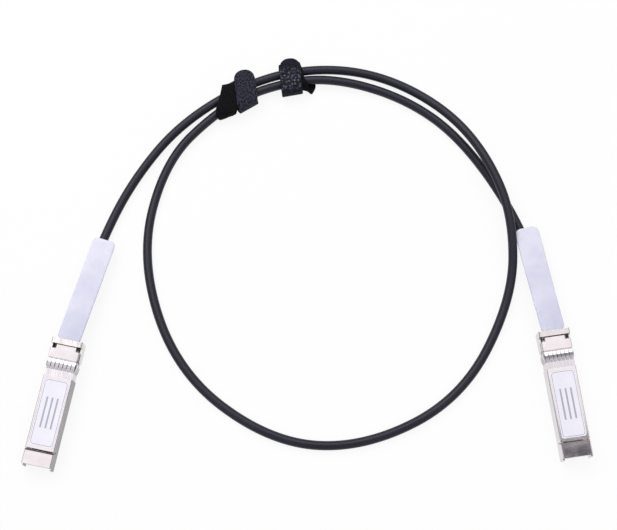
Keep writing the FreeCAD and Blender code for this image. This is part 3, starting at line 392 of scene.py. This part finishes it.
# %% One recipe for small parts
def small_part(name, dark, light, scale, roughness, metallic=0.0, ior=1.5, height=0.0):
    """Colour drifting between two tones over grains of scale mm, raised by height mm."""
    material, tree, shader = new_material(name)
    place = add(tree, "TexCoord")
    drift = add(tree, "TexNoise", {"Vector": (place, "Object"), "Scale": 1000.0 / scale,
                                   "Detail": 3.0})
    colour = add(tree, "ValToRGB", {"Fac": (drift, "Fac")}, stops=[(0.35, dark), (0.65, light)])
    tree.links.new(colour.outputs["Color"], shader.inputs["Base Color"])
    if height:
        bump = add(tree, "Bump", {"Height": (drift, "Fac"), "Strength": 0.6,
                                  "Distance": mm(height)})
        tree.links.new(bump.outputs["Normal"], shader.inputs["Normal"])
    shader.inputs["Roughness"].default_value = roughness
    shader.inputs["Metallic"].default_value = metallic
    if not metallic:
        shader.inputs["IOR"].default_value = ior
    return material


CARD = small_part("solder_mask_on_glass_fibre", "#1E5A3C", "#27704B", 2.0, 0.35, ior=1.55)
GOLD = small_part("hard_gold_plating", "#D9A441", "#EDC265", 0.8, 0.22, metallic=1.0)
CHIP = small_part("moulded_epoxy", "#202124", "#2E2F33", 0.4, 0.55, height=0.02)
FOIL = small_part("aluminium_foil", "#B9BBBE", "#DADBDD", 0.7, 0.3, metallic=1.0, height=0.08)
POTTING = small_part("hot_melt_potting", "#3A342C", "#4A4238", 1.5, 0.5, height=0.1)
BRASS = small_part("crimped_brass", "#B08D57", "#C9A86E", 1.2, 0.28, metallic=1.0, height=0.02)
RUBBER = small_part("moulded_rubber", "#1F1F22", "#2A2A2E", 0.6, 0.65, ior=1.52, height=0.02)
print("small parts:", [part.name for part in (CARD, GOLD, CHIP, FOIL, POTTING, BRASS, RUBBER)])

# %% [markdown]
# ## Finishes onto the CAD pieces
#
# A CAD piece keeps its mesh and its place; only its material slots change. Each could be
# dressed by a line of its own, but the names end in the plug's letter, so one table serves
# both plugs. The soft pieces and the springs aren't in it, because they are made again below.

# %% Dress the nodes
FINISHES = {
    "base_shell": ZINC, "top_cover": ZINC, "latch_slider": SLIDER, "emi_gasket": FINGERS,
    "cover_screw": SCREW, "label": LABEL, "paddle_card": CARD,
    "card_contacts": GOLD, "card_components": CHIP, "wire_pairs": FOIL, "inner_mould": POTTING,
    "crimp_ferrule": BRASS, "cable_grommet": RUBBER,
}
for name, node in nodes.items():
    piece, _, letter = name.rpartition("_")
    if piece in FINISHES:
        finish = FINISHES[piece]
        finish = finish[letter] if isinstance(finish, dict) else finish
        for material_slot in node.material_slots:
            material_slot.material = finish
print("dressed", sum(name.rpartition("_")[0] in FINISHES for name in nodes), "nodes")

# %% [markdown]
# ## The cable's jacket
#
# The jacket is extruded PVC, charcoal with a cool cast. Extrusion leaves a smooth, slightly
# waxy skin. It could be one dark plastic, but a cable that is handled is never quite even:
# its tone drifts over some 25 mm and its skin is uneven over 2 mm. A moderate roughness and
# a low specular level give the soft, dull sheen of plasticised PVC.

# %% Extruded PVC
def extruded_pvc():
    """Charcoal that drifts in tone, over an uneven skin. Scales are to the metre."""
    material, tree, shader = new_material("extruded_pvc")
    place = add(tree, "TexCoord")
    skin = add(tree, "TexNoise", {"Vector": (place, "Object"), "Scale": 500.0, "Detail": 4.0})
    tone = add(tree, "TexNoise", {"Vector": (place, "Object"), "Scale": 40.0, "Detail": 2.0})
    colour = add(tree, "ValToRGB", {"Fac": (tone, "Fac")},
                 stops=[(0.3, "#1A1A27"), (0.7, "#212130")])
    bump = add(tree, "Bump", {"Height": (skin, "Fac"), "Strength": 0.05, "Distance": mm(0.05)})
    tree.links.new(colour.outputs["Color"], shader.inputs["Base Color"])
    tree.links.new(bump.outputs["Normal"], shader.inputs["Normal"])
    shader.inputs["Roughness"].default_value = 0.42
    shader.inputs["IOR"].default_value = 1.45
    shader.inputs["Specular IOR Level"].default_value = 0.4
    return material


PVC = extruded_pvc()
print(PVC.name)

# %% [markdown]
# ## The cable
#
# One cable joins the plugs: out of plug A, once and a half round the loop, so that it
# passes the straps twice, over itself near plug B, and in. It could be a swept mesh, but a
# curve stays easy to lay. A NURBS curve of order 3 takes the route's points as its control
# points and rounds every corner by itself. The bevel gives it the jacket's diameter. The
# two inner ends sit inside the plugs, where the jacket is stripped.

# %% Route and curve
CABLE = 4.2
INLET = 4.2  # the middle of a plug's inlet
LAID = CABLE / 2  # the cable's middle where it lies on the table
HELD = LAID + 1.5  # where a strap passes below it
OVER = LAID + CABLE + 3.0  # where it passes over itself
ROUTE = [
    (0, 5.5, INLET), (0, 25.5, INLET), (2, 59, LAID), (9.5, 93.5, LAID), (26, 127, HELD),
    (56, 155.5, HELD), (87, 168, HELD), (117.5, 169.5, LAID), (148.5, 158, 4.2),
    (170.5, 137.5, OVER), (187, 111, OVER), (194, 74.5, LAID), (179.5, 24.5, LAID),
    (140.5, -6.5, LAID), (99, -12.5, LAID), (50.5, 10, LAID), (22, 58.5, LAID),
    (22.5, 106.5, LAID), (41.5, 136, HELD), (60.5, 151.8, HELD), (88, 163.5, HELD),
    (125.5, 161.5, LAID), (157.5, 146.5, LAID), (191.5, 111, LAID), (209.88, 73.76, INLET),
    (216.72, 54.97, INLET),
]

cable_curve = bpy.data.curves.new("cable_jacket", "CURVE")
cable_curve.dimensions = "3D"
cable_curve.bevel_depth = mm(CABLE) / 2
cable_curve.bevel_resolution = 6
cable_curve.use_fill_caps = True
cable_curve.resolution_u = 16
spline = cable_curve.splines.new("NURBS")
spline.points.add(len(ROUTE) - 1)
for point, place in zip(spline.points, ROUTE):
    point.co = (*mm(*place), 1.0)
spline.order_u = 3
spline.use_endpoint_u = True
cable = bpy.data.objects.new("cable_jacket", cable_curve)
bpy.context.scene.collection.objects.link(cable)
cable.data.materials.append(PVC)
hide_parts("cable")
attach(cable, "cable_and_plugs")
print("cable of", len(ROUTE), "control points")

# %% [markdown]
# ## One way to make a strip
#
# The pull tabs and the straps are flat strips that follow a path: a moulded tab of soft
# vinyl, and woven tape. A plane bent along a curve, with a solidify modifier, could make
# them. Building them from stations gives control of the rounded ends and edges instead. A
# station has a middle, a direction across, a direction up and a half width. The two faces
# meet in a rounded edge, because the thickness falls off towards the outline as a quarter
# circle. Every point also keeps its place on the flat strip, in millimetres, as a UV, so
# weave and grain follow the strip.

# %% The outline of a strip
STRIP_EDGE = 0.4  # mm, the radius of the rounded edge
END_ANGLES = (0, 6, 12, 20, 30, 42, 55, 70, 90)  # degrees round a corner, denser at the end


def rounded_half_width(half_width, corner, inset):
    """Half width of a strip at a distance inset from an end with rounded corners."""
    if inset >= corner:
        return half_width
    return half_width - corner + math.sqrt(max(corner ** 2 - (corner - inset) ** 2, 0))


def inset_from_outline(across, half_width, corner, inset):
    """How far a point lies inside the strip's outline."""
    beyond = max(abs(across) - (half_width - corner), 0)
    if inset < corner and beyond > 0:
        return corner - math.hypot(corner - inset, beyond)
    return min(half_width - abs(across), inset)


def end_steps(length, corner, step):
    """Places along a strip, closer together in its rounded ends."""
    ends = [corner * (1 - math.cos(math.radians(angle))) for angle in END_ANGLES]
    count = max(2, round((length - 2 * corner) / step))
    middle = [corner + (length - 2 * corner) * k / count for k in range(1, count)]
    return ends + middle + [length - e for e in reversed(ends)]


print("a strip of 50 mm has", len(end_steps(50, 2.5, 1.2)), "stations")

# %% The mesh of a strip
ACROSS = [-1, -0.985, -0.95, -0.88, -0.66, -0.33, 0, 0.33, 0.66, 0.88, 0.95, 0.985, 1]


def strip_mesh(name, stations, thickness):
    """A strip with rounded edges.

    stations: (middle, across, up, half width, corner, inset from the nearer end, along), mm.
    """
    mesh = bpy.data.meshes.new(name)
    build = bmesh.new()
    uv = build.loops.layers.uv.new("strip")
    flat, rings = {}, []
    for middle, across, up, half_width, corner, inset, along in stations:
        reach = rounded_half_width(half_width, corner, inset)
        sides = []
        for side in (1, -1):
            row = []
            for share in ACROSS:
                x = share * reach
                depth = max(inset_from_outline(x, half_width, corner, inset), 0)
                short = max(STRIP_EDGE - depth, 0)  # 0 where the strip has its full thickness
                lift = thickness / 2 - STRIP_EDGE + math.sqrt(max(STRIP_EDGE ** 2 - short ** 2, 0))
                lift = lift if depth > 1e-6 else 0
                point = build.verts.new((middle + across * x + up * lift * side) / 1000)
                flat[point] = (along, x)
                row.append(point)
            sides.append(row)
        rings.append(sides[0] + sides[1][::-1])
    for ring, following in zip(rings, rings[1:]):
        for k in range(len(ring)):
            following_k = (k + 1) % len(ring)
            build.faces.new((ring[k], ring[following_k], following[following_k], following[k]))
    for ring in (rings[0], rings[-1]):
        half = len(ACROSS)
        for k in range(half - 1):
            build.faces.new((ring[k], ring[k + 1], ring[2 * half - 2 - k], ring[2 * half - 1 - k]))
    for face in build.faces:
        face.smooth = True
        for loop in face.loops:
            loop[uv].uv = flat[loop.vert]
    bmesh.ops.remove_doubles(build, verts=build.verts, dist=1e-6)
    bmesh.ops.recalc_face_normals(build, faces=build.faces)
    build.to_mesh(mesh)
    build.free()
    piece = bpy.data.objects.new(name, mesh)
    bpy.context.scene.collection.objects.link(piece)
    return piece


print("strips:", 2 * len(ACROSS), "points a station")

# %% [markdown]
# ## Pull tabs
#
# Each latch slider ends in a tab of soft moulded vinyl, 10.7 mm wide and 0.9 mm thick, milky
# and slightly violet, that is pulled to free the plug. A cloth simulation would drape it,
# but a moulded strip keeps its form, so it is laid out as given. It leaves the slider's bridge
# with rounded shoulders, sinks a little towards the table and carries two faint creases
# where fingers have bent it. Each lies slightly askew, about the middle of the bridge.

# %% Soft vinyl
def soft_vinyl():
    """Milky vinyl, darker and bluer near the plug and paler towards the far end: a painted shadow
    of the cable that lies under the tab, seen through it.
    """
    material, tree, shader = new_material("soft_vinyl")
    strip = add(tree, "UVMap", uv_map="strip")
    along = add(tree, "SeparateXYZ", {0: (strip, "UV")})
    # The tab is painted darker near the plug, where the cable's shadow shows through it, and this
    # fades out towards the far end.
    cable_shadow_fade = add(tree, "MapRange", {"Value": (along, "X"), "From Max": 52.0, "To Max": 0.5})
    cloud = add(tree, "TexNoise", {"Vector": (strip, "UV"), "Scale": 0.08, "Detail": 2.0})
    cloud = add(tree, "Math", {0: (cloud, "Fac"), 1: (cable_shadow_fade, "Result")}, operation="ADD")
    skin = add(tree, "TexNoise", {"Vector": (strip, "UV"), "Scale": 2.5, "Detail": 3.0})
    colour = add(tree, "ValToRGB", {"Fac": (cloud, "Value")},
                 stops=[(0.35, "#C6C8DD"), (1.0, "#DEDEEC")])
    bump = add(tree, "Bump", {"Height": (skin, "Fac"), "Strength": 0.15, "Distance": mm(0.05)})
    tree.links.new(colour.outputs["Color"], shader.inputs["Base Color"])
    tree.links.new(bump.outputs["Normal"], shader.inputs["Normal"])
    shader.inputs["Roughness"].default_value = 0.42
    shader.inputs["IOR"].default_value = 1.53
    shader.inputs["Subsurface Weight"].default_value = 0.3
    shader.inputs["Subsurface Radius"].default_value = (0.9, 0.9, 1.0)
    shader.inputs["Subsurface Scale"].default_value = mm(1.2)
    return material


VINYL = soft_vinyl()
print(VINYL.name)

# %% The tabs
TAB_HALF_WIDTH, TAB_THICKNESS = 5.35, 0.9
TAB_PIVOT = -12.25  # station of the bridge's middle, about which a tab lies askew
TAB_START, TAB_BRIDGE, TAB_END = -0.65, 1.25, 51.05  # from the pivot: root, bridge's back, end
TAB_SHOULDER = 1.3  # radius where the tab widens behind the bridge
TAB_STEP = 1.2
TAB_TOP, TAB_FALL, TAB_SAG = 8.45, 2.15, 0.35  # the fall is steeper near the bridge by the sag
CREASES, CREASE_DEPTH, CREASE_WIDTH = (31.0, 35.5), 0.14, 1.6
SQUARE = 99  # an inset so large that the root keeps its square corners


def pull_tab(letter, askew, flare, corner):
    """A tab turned by askew degrees that widens by flare mm a side towards its far end."""
    turn = math.radians(askew)

    def spot(across, beyond, height):
        x = across * math.cos(turn) - beyond * math.sin(turn)
        y = across * math.sin(turn) + beyond * math.cos(turn)
        return on_plug(letter, x, TAB_PIVOT - y, height) * 1000

    def height(beyond):
        share = min(max((beyond - TAB_BRIDGE) / (TAB_END - TAB_BRIDGE), 0), 1)
        creases = sum(CREASE_DEPTH * math.exp(-((beyond - place) / CREASE_WIDTH) ** 2)
                      for place in CREASES)
        fall = TAB_FALL * ((1 + TAB_SAG) * share - TAB_SAG * share ** 2)
        return TAB_TOP - TAB_THICKNESS / 2 - fall - creases

    stations = []
    length = TAB_END - TAB_START
    for along in end_steps(length, corner, TAB_STEP):
        beyond = TAB_START + along
        shoulder = rounded_half_width(TAB_HALF_WIDTH, TAB_SHOULDER, max(beyond - TAB_BRIDGE, 0))
        share = max(beyond, 0) / TAB_END
        half_width = shoulder + flare * share
        middle = spot(0, beyond, height(beyond))
        across = (spot(1, beyond, height(beyond)) - middle).normalized()
        ahead = (spot(0, beyond + 0.1, height(beyond + 0.1)) - middle).normalized()
        up = ahead.cross(across)
        up = up if up.z > 0 else -up
        inset = length - along if along > length / 2 else SQUARE
        stations.append((middle, across, up, half_width, corner, inset, along))
    tab = strip_mesh(f"vinyl_pull_tab_{letter}", stations, TAB_THICKNESS)
    tab.data.materials.append(VINYL)
    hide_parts(f"pull_tab_{letter}")
    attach(tab, f"slider_{letter}")
    return tab


tabs = [pull_tab("a", -5.5, 0.0, 2.5), pull_tab("b", 3.7, 0.35, 3.2)]
print("tabs:", ", ".join(f"{tab.name} {len(tab.data.polygons)} faces" for tab in tabs))

# %% [markdown]
# ## Return springs
#
# Two folded strips of spring steel, 0.3 mm thick, sit in pockets beside each card and push
# the latch slider home. When the tab is pulled, the slider's lugs close them up by 2 mm. A
# zigzag of straight legs would have sharp folds. A strip swept along a wave whose tops are
# drawn out has the rounded folds of the real one.

# %% Folded strips
SPRING_LEGS, SPRING_STRIP, SPRING_REACH = 6, 0.3, 1.0  # legs, thickness and width over all
SPRING_GAP = 0.1  # between a strip and either end of its pocket
FOLD = 0.25  # share by which a fold is drawn out
STEPS_A_LEG = 10


def return_spring(letter):
    """Both strips of one plug, in the space of the CAD springs."""
    low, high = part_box("return_springs_a")  # plug A lies square, so its box gives the sizes
    outer, top, bottom = high.x * 1000, high.z * 1000, low.z * 1000
    tail, length = -high.y * 1000, (high.y - low.y) * 1000
    swing = 0.5 * (SPRING_REACH - SPRING_STRIP)
    build = bmesh.new()
    for side in (-1, 1):
        rings = []
        count = SPRING_LEGS * STEPS_A_LEG
        for k in range(count + 1):
            phase = math.pi * SPRING_LEGS * k / count
            wave = math.cos(phase) * (1 + FOLD - FOLD * math.cos(phase) ** 2)
            middle = outer - SPRING_STRIP / 2 - swing * (1 + wave)
            station = tail + (length - 2 * SPRING_GAP) * k / count + SPRING_GAP
            section = [(-SPRING_STRIP / 2, bottom), (SPRING_STRIP / 2, bottom),
                       (SPRING_STRIP / 2, top), (-SPRING_STRIP / 2, top)]
            rings.append([build.verts.new(on_plug(letter, side * (middle + x), station, z))
                          for x, z in section])
        for ring, following in zip(rings, rings[1:]):
            for k in range(4):
                build.faces.new((ring[k], ring[k - 1], following[k - 1], following[k]))
        build.faces.new(rings[0])
        build.faces.new(rings[-1][::-1])
    bmesh.ops.recalc_face_normals(build, faces=build.faces)
    mesh = bpy.data.meshes.new(f"folded_springs_{letter}")
    build.to_mesh(mesh)
    build.free()
    piece = bpy.data.objects.new(mesh.name, mesh)
    bpy.context.scene.collection.objects.link(piece)
    mesh.materials.append(SPRING[letter])
    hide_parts(f"return_springs_{letter}")
    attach(piece, "cable_and_plugs")
    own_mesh(piece)
    return piece


springs = [return_spring(letter) for letter in SHOULDERS]
print("springs:", ", ".join(f"{spring.name} {len(spring.data.polygons)} faces"
                            for spring in springs))

# %% [markdown]
# ## Hook-and-loop straps
#
# Two tapes of woven nylon, 10 mm wide, hold the strands together. Each is wound once and a
# half and closes on itself, and the end of strap 2 shows its hooks. Cloth simulation suits
# wide soft sheets; a narrow stiff tape keeps the turns that a hand gave it, so each is wound
# along listed points here too. Its path is given in the strands' own directions: along them, across
# them
# and outwards, and up, and with each point the angle to which the tape's outside has turned:
# 0 up, 90 outwards, 180 down, 270 inwards, 360 up again. So a tape can lie askew, cross below
# and come back over itself.

# %% Woven nylon
RIBS = 0.7  # the wave node's scale, whose bands lie 0.314 / scale apart: 0.45 mm
HOOKS = 0.62  # to the millimetre, so about 1.6 mm apart
DOTS_FADE = 1.5  # mm over which the dots begin and end


def woven_tape(name, dark, light, sheen, dots=None, dots_from=0, dots_to=99):
    """Nylon pile over ribs. dots: colour of the hooks, from dots_from to dots_to mm along."""
    material, tree, shader = new_material(name)
    strip = add(tree, "UVMap", uv_map="strip")
    pile = add(tree, "TexNoise", {"Vector": (strip, "UV"), "Scale": 1.3, "Detail": 3.0})
    ribs = add(tree, "TexWave", {"Vector": (strip, "UV"), "Scale": RIBS, "Distortion": 1.2,
                                 "Detail": 2.0, "Detail Scale": 2.0}, bands_direction="X")
    colour = add(tree, "ValToRGB", {"Fac": (pile, "Fac")}, stops=[(0.38, dark), (0.62, light)])
    height = add(tree, "MixRGB", {"Fac": 0.65, "Color1": (ribs, "Color"), "Color2": (pile, "Fac")})
    bump = add(tree, "Bump", {"Height": (height, "Color"), "Strength": 0.9, "Distance": mm(0.25)})
    face = colour
    if dots:
        cells = add(tree, "TexVoronoi", {"Vector": (strip, "UV"), "Scale": HOOKS,
                                         "Randomness": 0.7}, voronoi_dimensions="2D")
        knob = add(tree, "MapRange", {"Value": (cells, "Distance"), "From Min": 0.45,
                                      "From Max": 0.12})
        worn = add(tree, "TexNoise", {"Vector": (strip, "UV"), "Scale": 0.9, "Detail": 1.0})
        kept = add(tree, "MapRange", {"Value": (worn, "Fac"), "From Min": 0.35, "From Max": 0.6})
        along = add(tree, "SeparateXYZ", {0: (strip, "UV")})
        start = add(tree, "MapRange", {"Value": (along, "X"), "From Min": dots_from,
                                       "From Max": dots_from + DOTS_FADE})
        stop = add(tree, "MapRange", {"Value": (along, "X"), "From Min": dots_to,
                                      "From Max": dots_to - DOTS_FADE})
        band = add(tree, "Math", {0: (start, "Result"), 1: (stop, "Result")}, operation="MULTIPLY")
        shown = add(tree, "Math", {0: (knob, "Result"), 1: (kept, "Result")}, operation="MULTIPLY")
        shown = add(tree, "Math", {0: (shown, "Value"), 1: (band, "Value")}, operation="MULTIPLY")
        face = add(tree, "MixRGB", {"Fac": (shown, "Value"), "Color1": (colour, "Color"),
                                    "Color2": linear(dots)})
    tree.links.new(face.outputs["Color"], shader.inputs["Base Color"])
    tree.links.new(bump.outputs["Normal"], shader.inputs["Normal"])
    shader.inputs["Roughness"].default_value = 0.85
    shader.inputs["Specular IOR Level"].default_value = 0.12
    shader.inputs["Sheen Weight"].default_value = sheen
    shader.inputs["Sheen Roughness"].default_value = 0.5
    return material


LOOP_BLACK = woven_tape("nylon_loop_black", "#050507", "#14141A", 0.02)
LOOP_CHARCOAL = woven_tape("nylon_loop_charcoal", "#0E0E16", "#3E3E4C", 0.05)
HOOK_BLACK = woven_tape("nylon_hook_black", "#0A0A10", "#2A2A36", 0.03,
                        dots="#666676", dots_from=4.5, dots_to=16)
print([material.name for material in (LOOP_BLACK, LOOP_CHARCOAL, HOOK_BLACK)])

# %% A smooth line through a tape's points
def through(points, steps):
    """A smooth line through points of any number of values, steps to a span."""
    ends = [[2 * b - c for b, c in zip(points[0], points[1])], *points,
            [2 * b - c for b, c in zip(points[-1], points[-2])]]
    line = []
    for p, a, b, n in zip(ends, ends[1:], ends[2:], ends[3:]):
        for k in range(steps):
            t = k / steps
            line.append([0.5 * (2 * y + (z - x) * t + (2 * x - 5 * y + 4 * z - w) * t * t
                                + (3 * y - x - 3 * z + w) * t ** 3)
                         for x, y, z, w in zip(p, a, b, n)])
    return line + [list(points[-1])]


print("two points, three steps:", through([(0, 0), (3, 6)], 3))

# %% Winding a tape
TAPE_HALF_WIDTH, TAPE = 5.0, 1.1  # half width and thickness
TAPE_CORNER = TAPE_HALF_WIDTH - 0.4
TAPE_STEP, STEPS_A_SPAN = 0.8, 24
FRAY, FRAY_RATE = 0.12, 0.9  # mm that a woven edge strays, and how often to the millimetre
TAPE_LOWEST = 0.05


def tape(name, replaced, origin, heading, path, skin, flap, flap_length):
    """A tape wound along path, whose last flap_length mm wear flap.

    origin, heading: a point on the table in mm and the strands' direction there in degrees.
    path: (along the strands, across them, up, turn of the tape's outside), in mm and degrees.
    """
    along_strands = Vector((math.cos(math.radians(heading)), math.sin(math.radians(heading)), 0))
    across_strands = Vector((-along_strands.y, along_strands.x, 0))
    above = Vector((0, 0, 1))
    fine = through(path, STEPS_A_SPAN)
    spots = [Vector((*origin, 0)) + along_strands * a + across_strands * q + above * z
             for a, q, z, _ in fine]
    travelled = [0.0]
    for here, there in zip(spots, spots[1:]):
        travelled.append(travelled[-1] + (there - here).length)
    length = travelled[-1]

    def at(along):
        k = max(j for j, gone in enumerate(travelled[:-1]) if gone <= along)
        share = (along - travelled[k]) / (travelled[k + 1] - travelled[k])
        ahead = (spots[min(k + 2, len(spots) - 1)] - spots[max(k - 1, 0)]).normalized()
        angle = math.radians(fine[k][3] + (fine[k + 1][3] - fine[k][3]) * share)
        up = across_strands * math.sin(angle) + above * math.cos(angle)
        up = (up - ahead * up.dot(ahead)).normalized()
        return spots[k].lerp(spots[k + 1], share), ahead.cross(up), up

    stations = []
    for along in end_steps(length, TAPE_CORNER, TAPE_STEP):
        middle, across, up = at(min(along, length - 1e-6))
        half_width = TAPE_HALF_WIDTH + FRAY * noise.noise(Vector((along * FRAY_RATE, heading, 0)))
        inset = min(along, length - along)
        stations.append((middle, across, up, half_width, TAPE_CORNER, inset, length - along))
    piece = strip_mesh(name, stations, TAPE)
    for point in piece.data.vertices:  # the table flattens what hangs lower
        point.co.z = max(point.co.z, mm(TAPE_LOWEST))
    piece.data.materials.append(skin)
    piece.data.materials.append(flap)
    places = piece.data.uv_layers["strip"].data
    for face in piece.data.polygons:
        face.material_index = int(places[face.loop_start].uv.x < flap_length)
    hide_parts(replaced)
    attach(piece, "cable_and_plugs")
    print(f"{name}: {length:.1f} mm of tape, {len(piece.data.polygons)} faces")


print("tape:", 2 * TAPE_HALF_WIDTH, "mm wide and", TAPE, "mm thick")

# %% Strap 1, pulled askew
BELOW, ABOVE, OUTER = 0.62, 6.65, 7.9  # a tape's middle below and above the strands, on itself
FLAP = 24
tape("hook_and_loop_strap_1", "strap_1", (46.5, 143.2), 42.5, [
    (-7.6, -6.4, 2.6, -80), (-7.0, -6.4, 4.4, -65), (-5.4, -5.0, 6.4, -15),
    (-2.2, -2.0, ABOVE, 0), (1.4, 2.0, ABOVE, 0), (3.9, 5.2, 6.0, 25), (4.7, 6.6, 3.7, 90),
    (4.9, 5.4, 1.1, 150), (5.0, 2.5, BELOW, 180), (5.1, -3.0, BELOW, 180),
    (5.1, -6.6, 0.95, 200), (5.1, -8.0, 3.0, 260), (5.1, -7.8, 6.0, 300), (5.5, -6.0, 7.7, 345),
    (7.0, -3.0, OUTER, 360), (9.0, 2.0, OUTER, 360), (11.5, 8.3, 7.75, 364),
], skin=LOOP_BLACK, flap=LOOP_CHARCOAL, flap_length=FLAP)

# %% Strap 2, its hooks outwards
tape("hook_and_loop_strap_2", "strap_2", (72.0, 159.5), 22.0, [
    (11.2, -3.9, BELOW, -180), (8.4, -4.1, 0.75, -176), (5.7, -5.0, 1.25, -165),
    (3.8, -6.1, 2.2, -130), (2.8, -6.5, 3.7, -90), (2.0, -5.5, 5.7, -40), (1.3, -2.6, 6.6, -5),
    (1.0, 1.5, ABOVE, 0), (0.6, 4.9, 6.1, 22), (0.3, 6.6, 3.7, 90), (0.1, 5.4, 1.1, 150),
    (0, 2.0, BELOW, 180), (-0.3, -3.0, BELOW, 180), (-0.5, -6.8, 0.95, 200),
    (-0.6, -8.4, 3.2, 265), (-0.6, -8.1, 6.2, 305), (-0.5, -6.2, 7.7, 345),
    (-0.3, -3.0, OUTER, 360), (0.2, 2.0, OUTER, 360), (0.8, 8.1, 7.6, 366),
], skin=LOOP_BLACK, flap=HOOK_BLACK, flap_length=FLAP)

# %% [markdown]
# ## Table and light
#
# The lead lies on a white table under one large soft lamp and a pale sky. More light would
# turn a pale floor white, but it would bleach the lead too. So the floor's material mixes
# plain white into what the camera and the polished metal see of it, and keeps part of the
# soft shadow. Bright plating shows what is round it, and in an empty scene that is nothing.
# A dark card above the lead and a bright card beyond its tail give the metal its light and
# dark edges; only reflections see them, so they light nothing else.

# %% Table
TABLE_HALF = 4.0  # m
PLAIN_SHARE = 0.88  # of plain white, the rest being the lit floor with its shadow


def table_white():
    """White to the eye and in reflections, with part of the soft shadow that falls on it."""
    material, tree, shader = new_material("table_white")
    shader.inputs["Base Color"].default_value = linear("#F4F4F4")
    shader.inputs["Roughness"].default_value = 0.9
    rays = add(tree, "LightPath")
    seen = add(tree, "Math", {0: (rays, "Is Camera Ray"), 1: (rays, "Is Glossy Ray")},
               operation="ADD")
    seen = add(tree, "Math", {0: (seen, "Value"), 1: (rays, "Is Transmission Ray")},
               operation="ADD")
    share = add(tree, "Math", {0: (seen, "Value"), 1: PLAIN_SHARE}, operation="MULTIPLY")
    plain = add(tree, "Emission", {"Color": (1, 1, 1, 1), "Strength": 1.0})
    mix = add(tree, "MixShader", {"Fac": (share, "Value"), 1: (shader, "BSDF"),
                                  2: (plain, "Emission")})
    tree.links.new(mix.outputs["Shader"], tree.nodes["Material Output"].inputs["Surface"])
    return material


floor = bpy.data.objects.new("table", bpy.data.meshes.new("table"))
sides = [(-1, -1), (1, -1), (1, 1), (-1, 1)]
floor.data.from_pydata([(TABLE_HALF * x, TABLE_HALF * y, 0) for x, y in sides], [],
                       [(0, 1, 2, 3)])
floor.data.materials.append(table_white())
bpy.context.scene.collection.objects.link(floor)
print("table", 2 * TABLE_HALF, "m wide")

# %% Lamps
LEAD_MIDDLE = (0.1, 0.07, 0)


def soft_lamp(name, place, size, watts):
    """A rectangular lamp that faces the lead. place and size in metres."""
    data = bpy.data.lights.new(name, "AREA")
    data.shape = "RECTANGLE"
    data.size, data.size_y = size
    data.energy = watts
    lamp = bpy.data.objects.new(name, data)
    lamp.location = place
    aim = Vector(LEAD_MIDDLE) - Vector(place)
    lamp.rotation_euler = aim.to_track_quat("-Z", "Y").to_euler()
    bpy.context.scene.collection.objects.link(lamp)
    return lamp


key_lamp = soft_lamp("key_lamp", place=(-0.5, 0.7, 1.1), size=(0.9, 0.9), watts=7)
bright_card = soft_lamp("bright_card", place=(0.2, 0.85, 0.85), size=(0.5, 0.5), watts=1.5)
bright_card.visible_diffuse = False
print("lamps:", key_lamp.name, bright_card.name)

# %% Dark card
CARD_CORNERS = [(-70, -420), (-70, 95), (285, 109), (420, 158), (420, -420)]
CARD_HEIGHT = 650
card = bpy.data.objects.new("dark_card", bpy.data.meshes.new("dark_card"))
card.data.from_pydata([mm(x, y, CARD_HEIGHT) for x, y in CARD_CORNERS], [],
                      [range(len(CARD_CORNERS))])
cloth, tree, shader = new_material("black_cloth")
shader.inputs["Base Color"].default_value = linear("#68666A")
shader.inputs["Roughness"].default_value = 1.0
card.data.materials.append(cloth)
card.visible_camera = card.visible_diffuse = False
card.visible_shadow = card.visible_transmission = False
bpy.context.scene.collection.objects.link(card)
print(card.name, "of", cloth.name)

# %% World
SKY_STRENGTH = 1.36
world = bpy.data.worlds.new("studio")
bpy.context.scene.world = world
world.use_nodes = True
sky = world.node_tree
direction = add(sky, "TexCoord")
heights = add(sky, "SeparateXYZ", {"Vector": (direction, "Generated")})
shade = add(sky, "ValToRGB", {"Fac": (heights, "Z")},
            stops=[(0.0, "#5E5D61"), (0.5, "#9C9A9E"), (0.9, "#F4F2F4")])
sky.links.new(shade.outputs["Color"], sky.nodes["Background"].inputs["Color"])
sky.nodes["Background"].inputs["Strength"].default_value = SKY_STRENGTH
bpy.context.scene.view_settings.view_transform = "Standard"
print("world:", world.name)
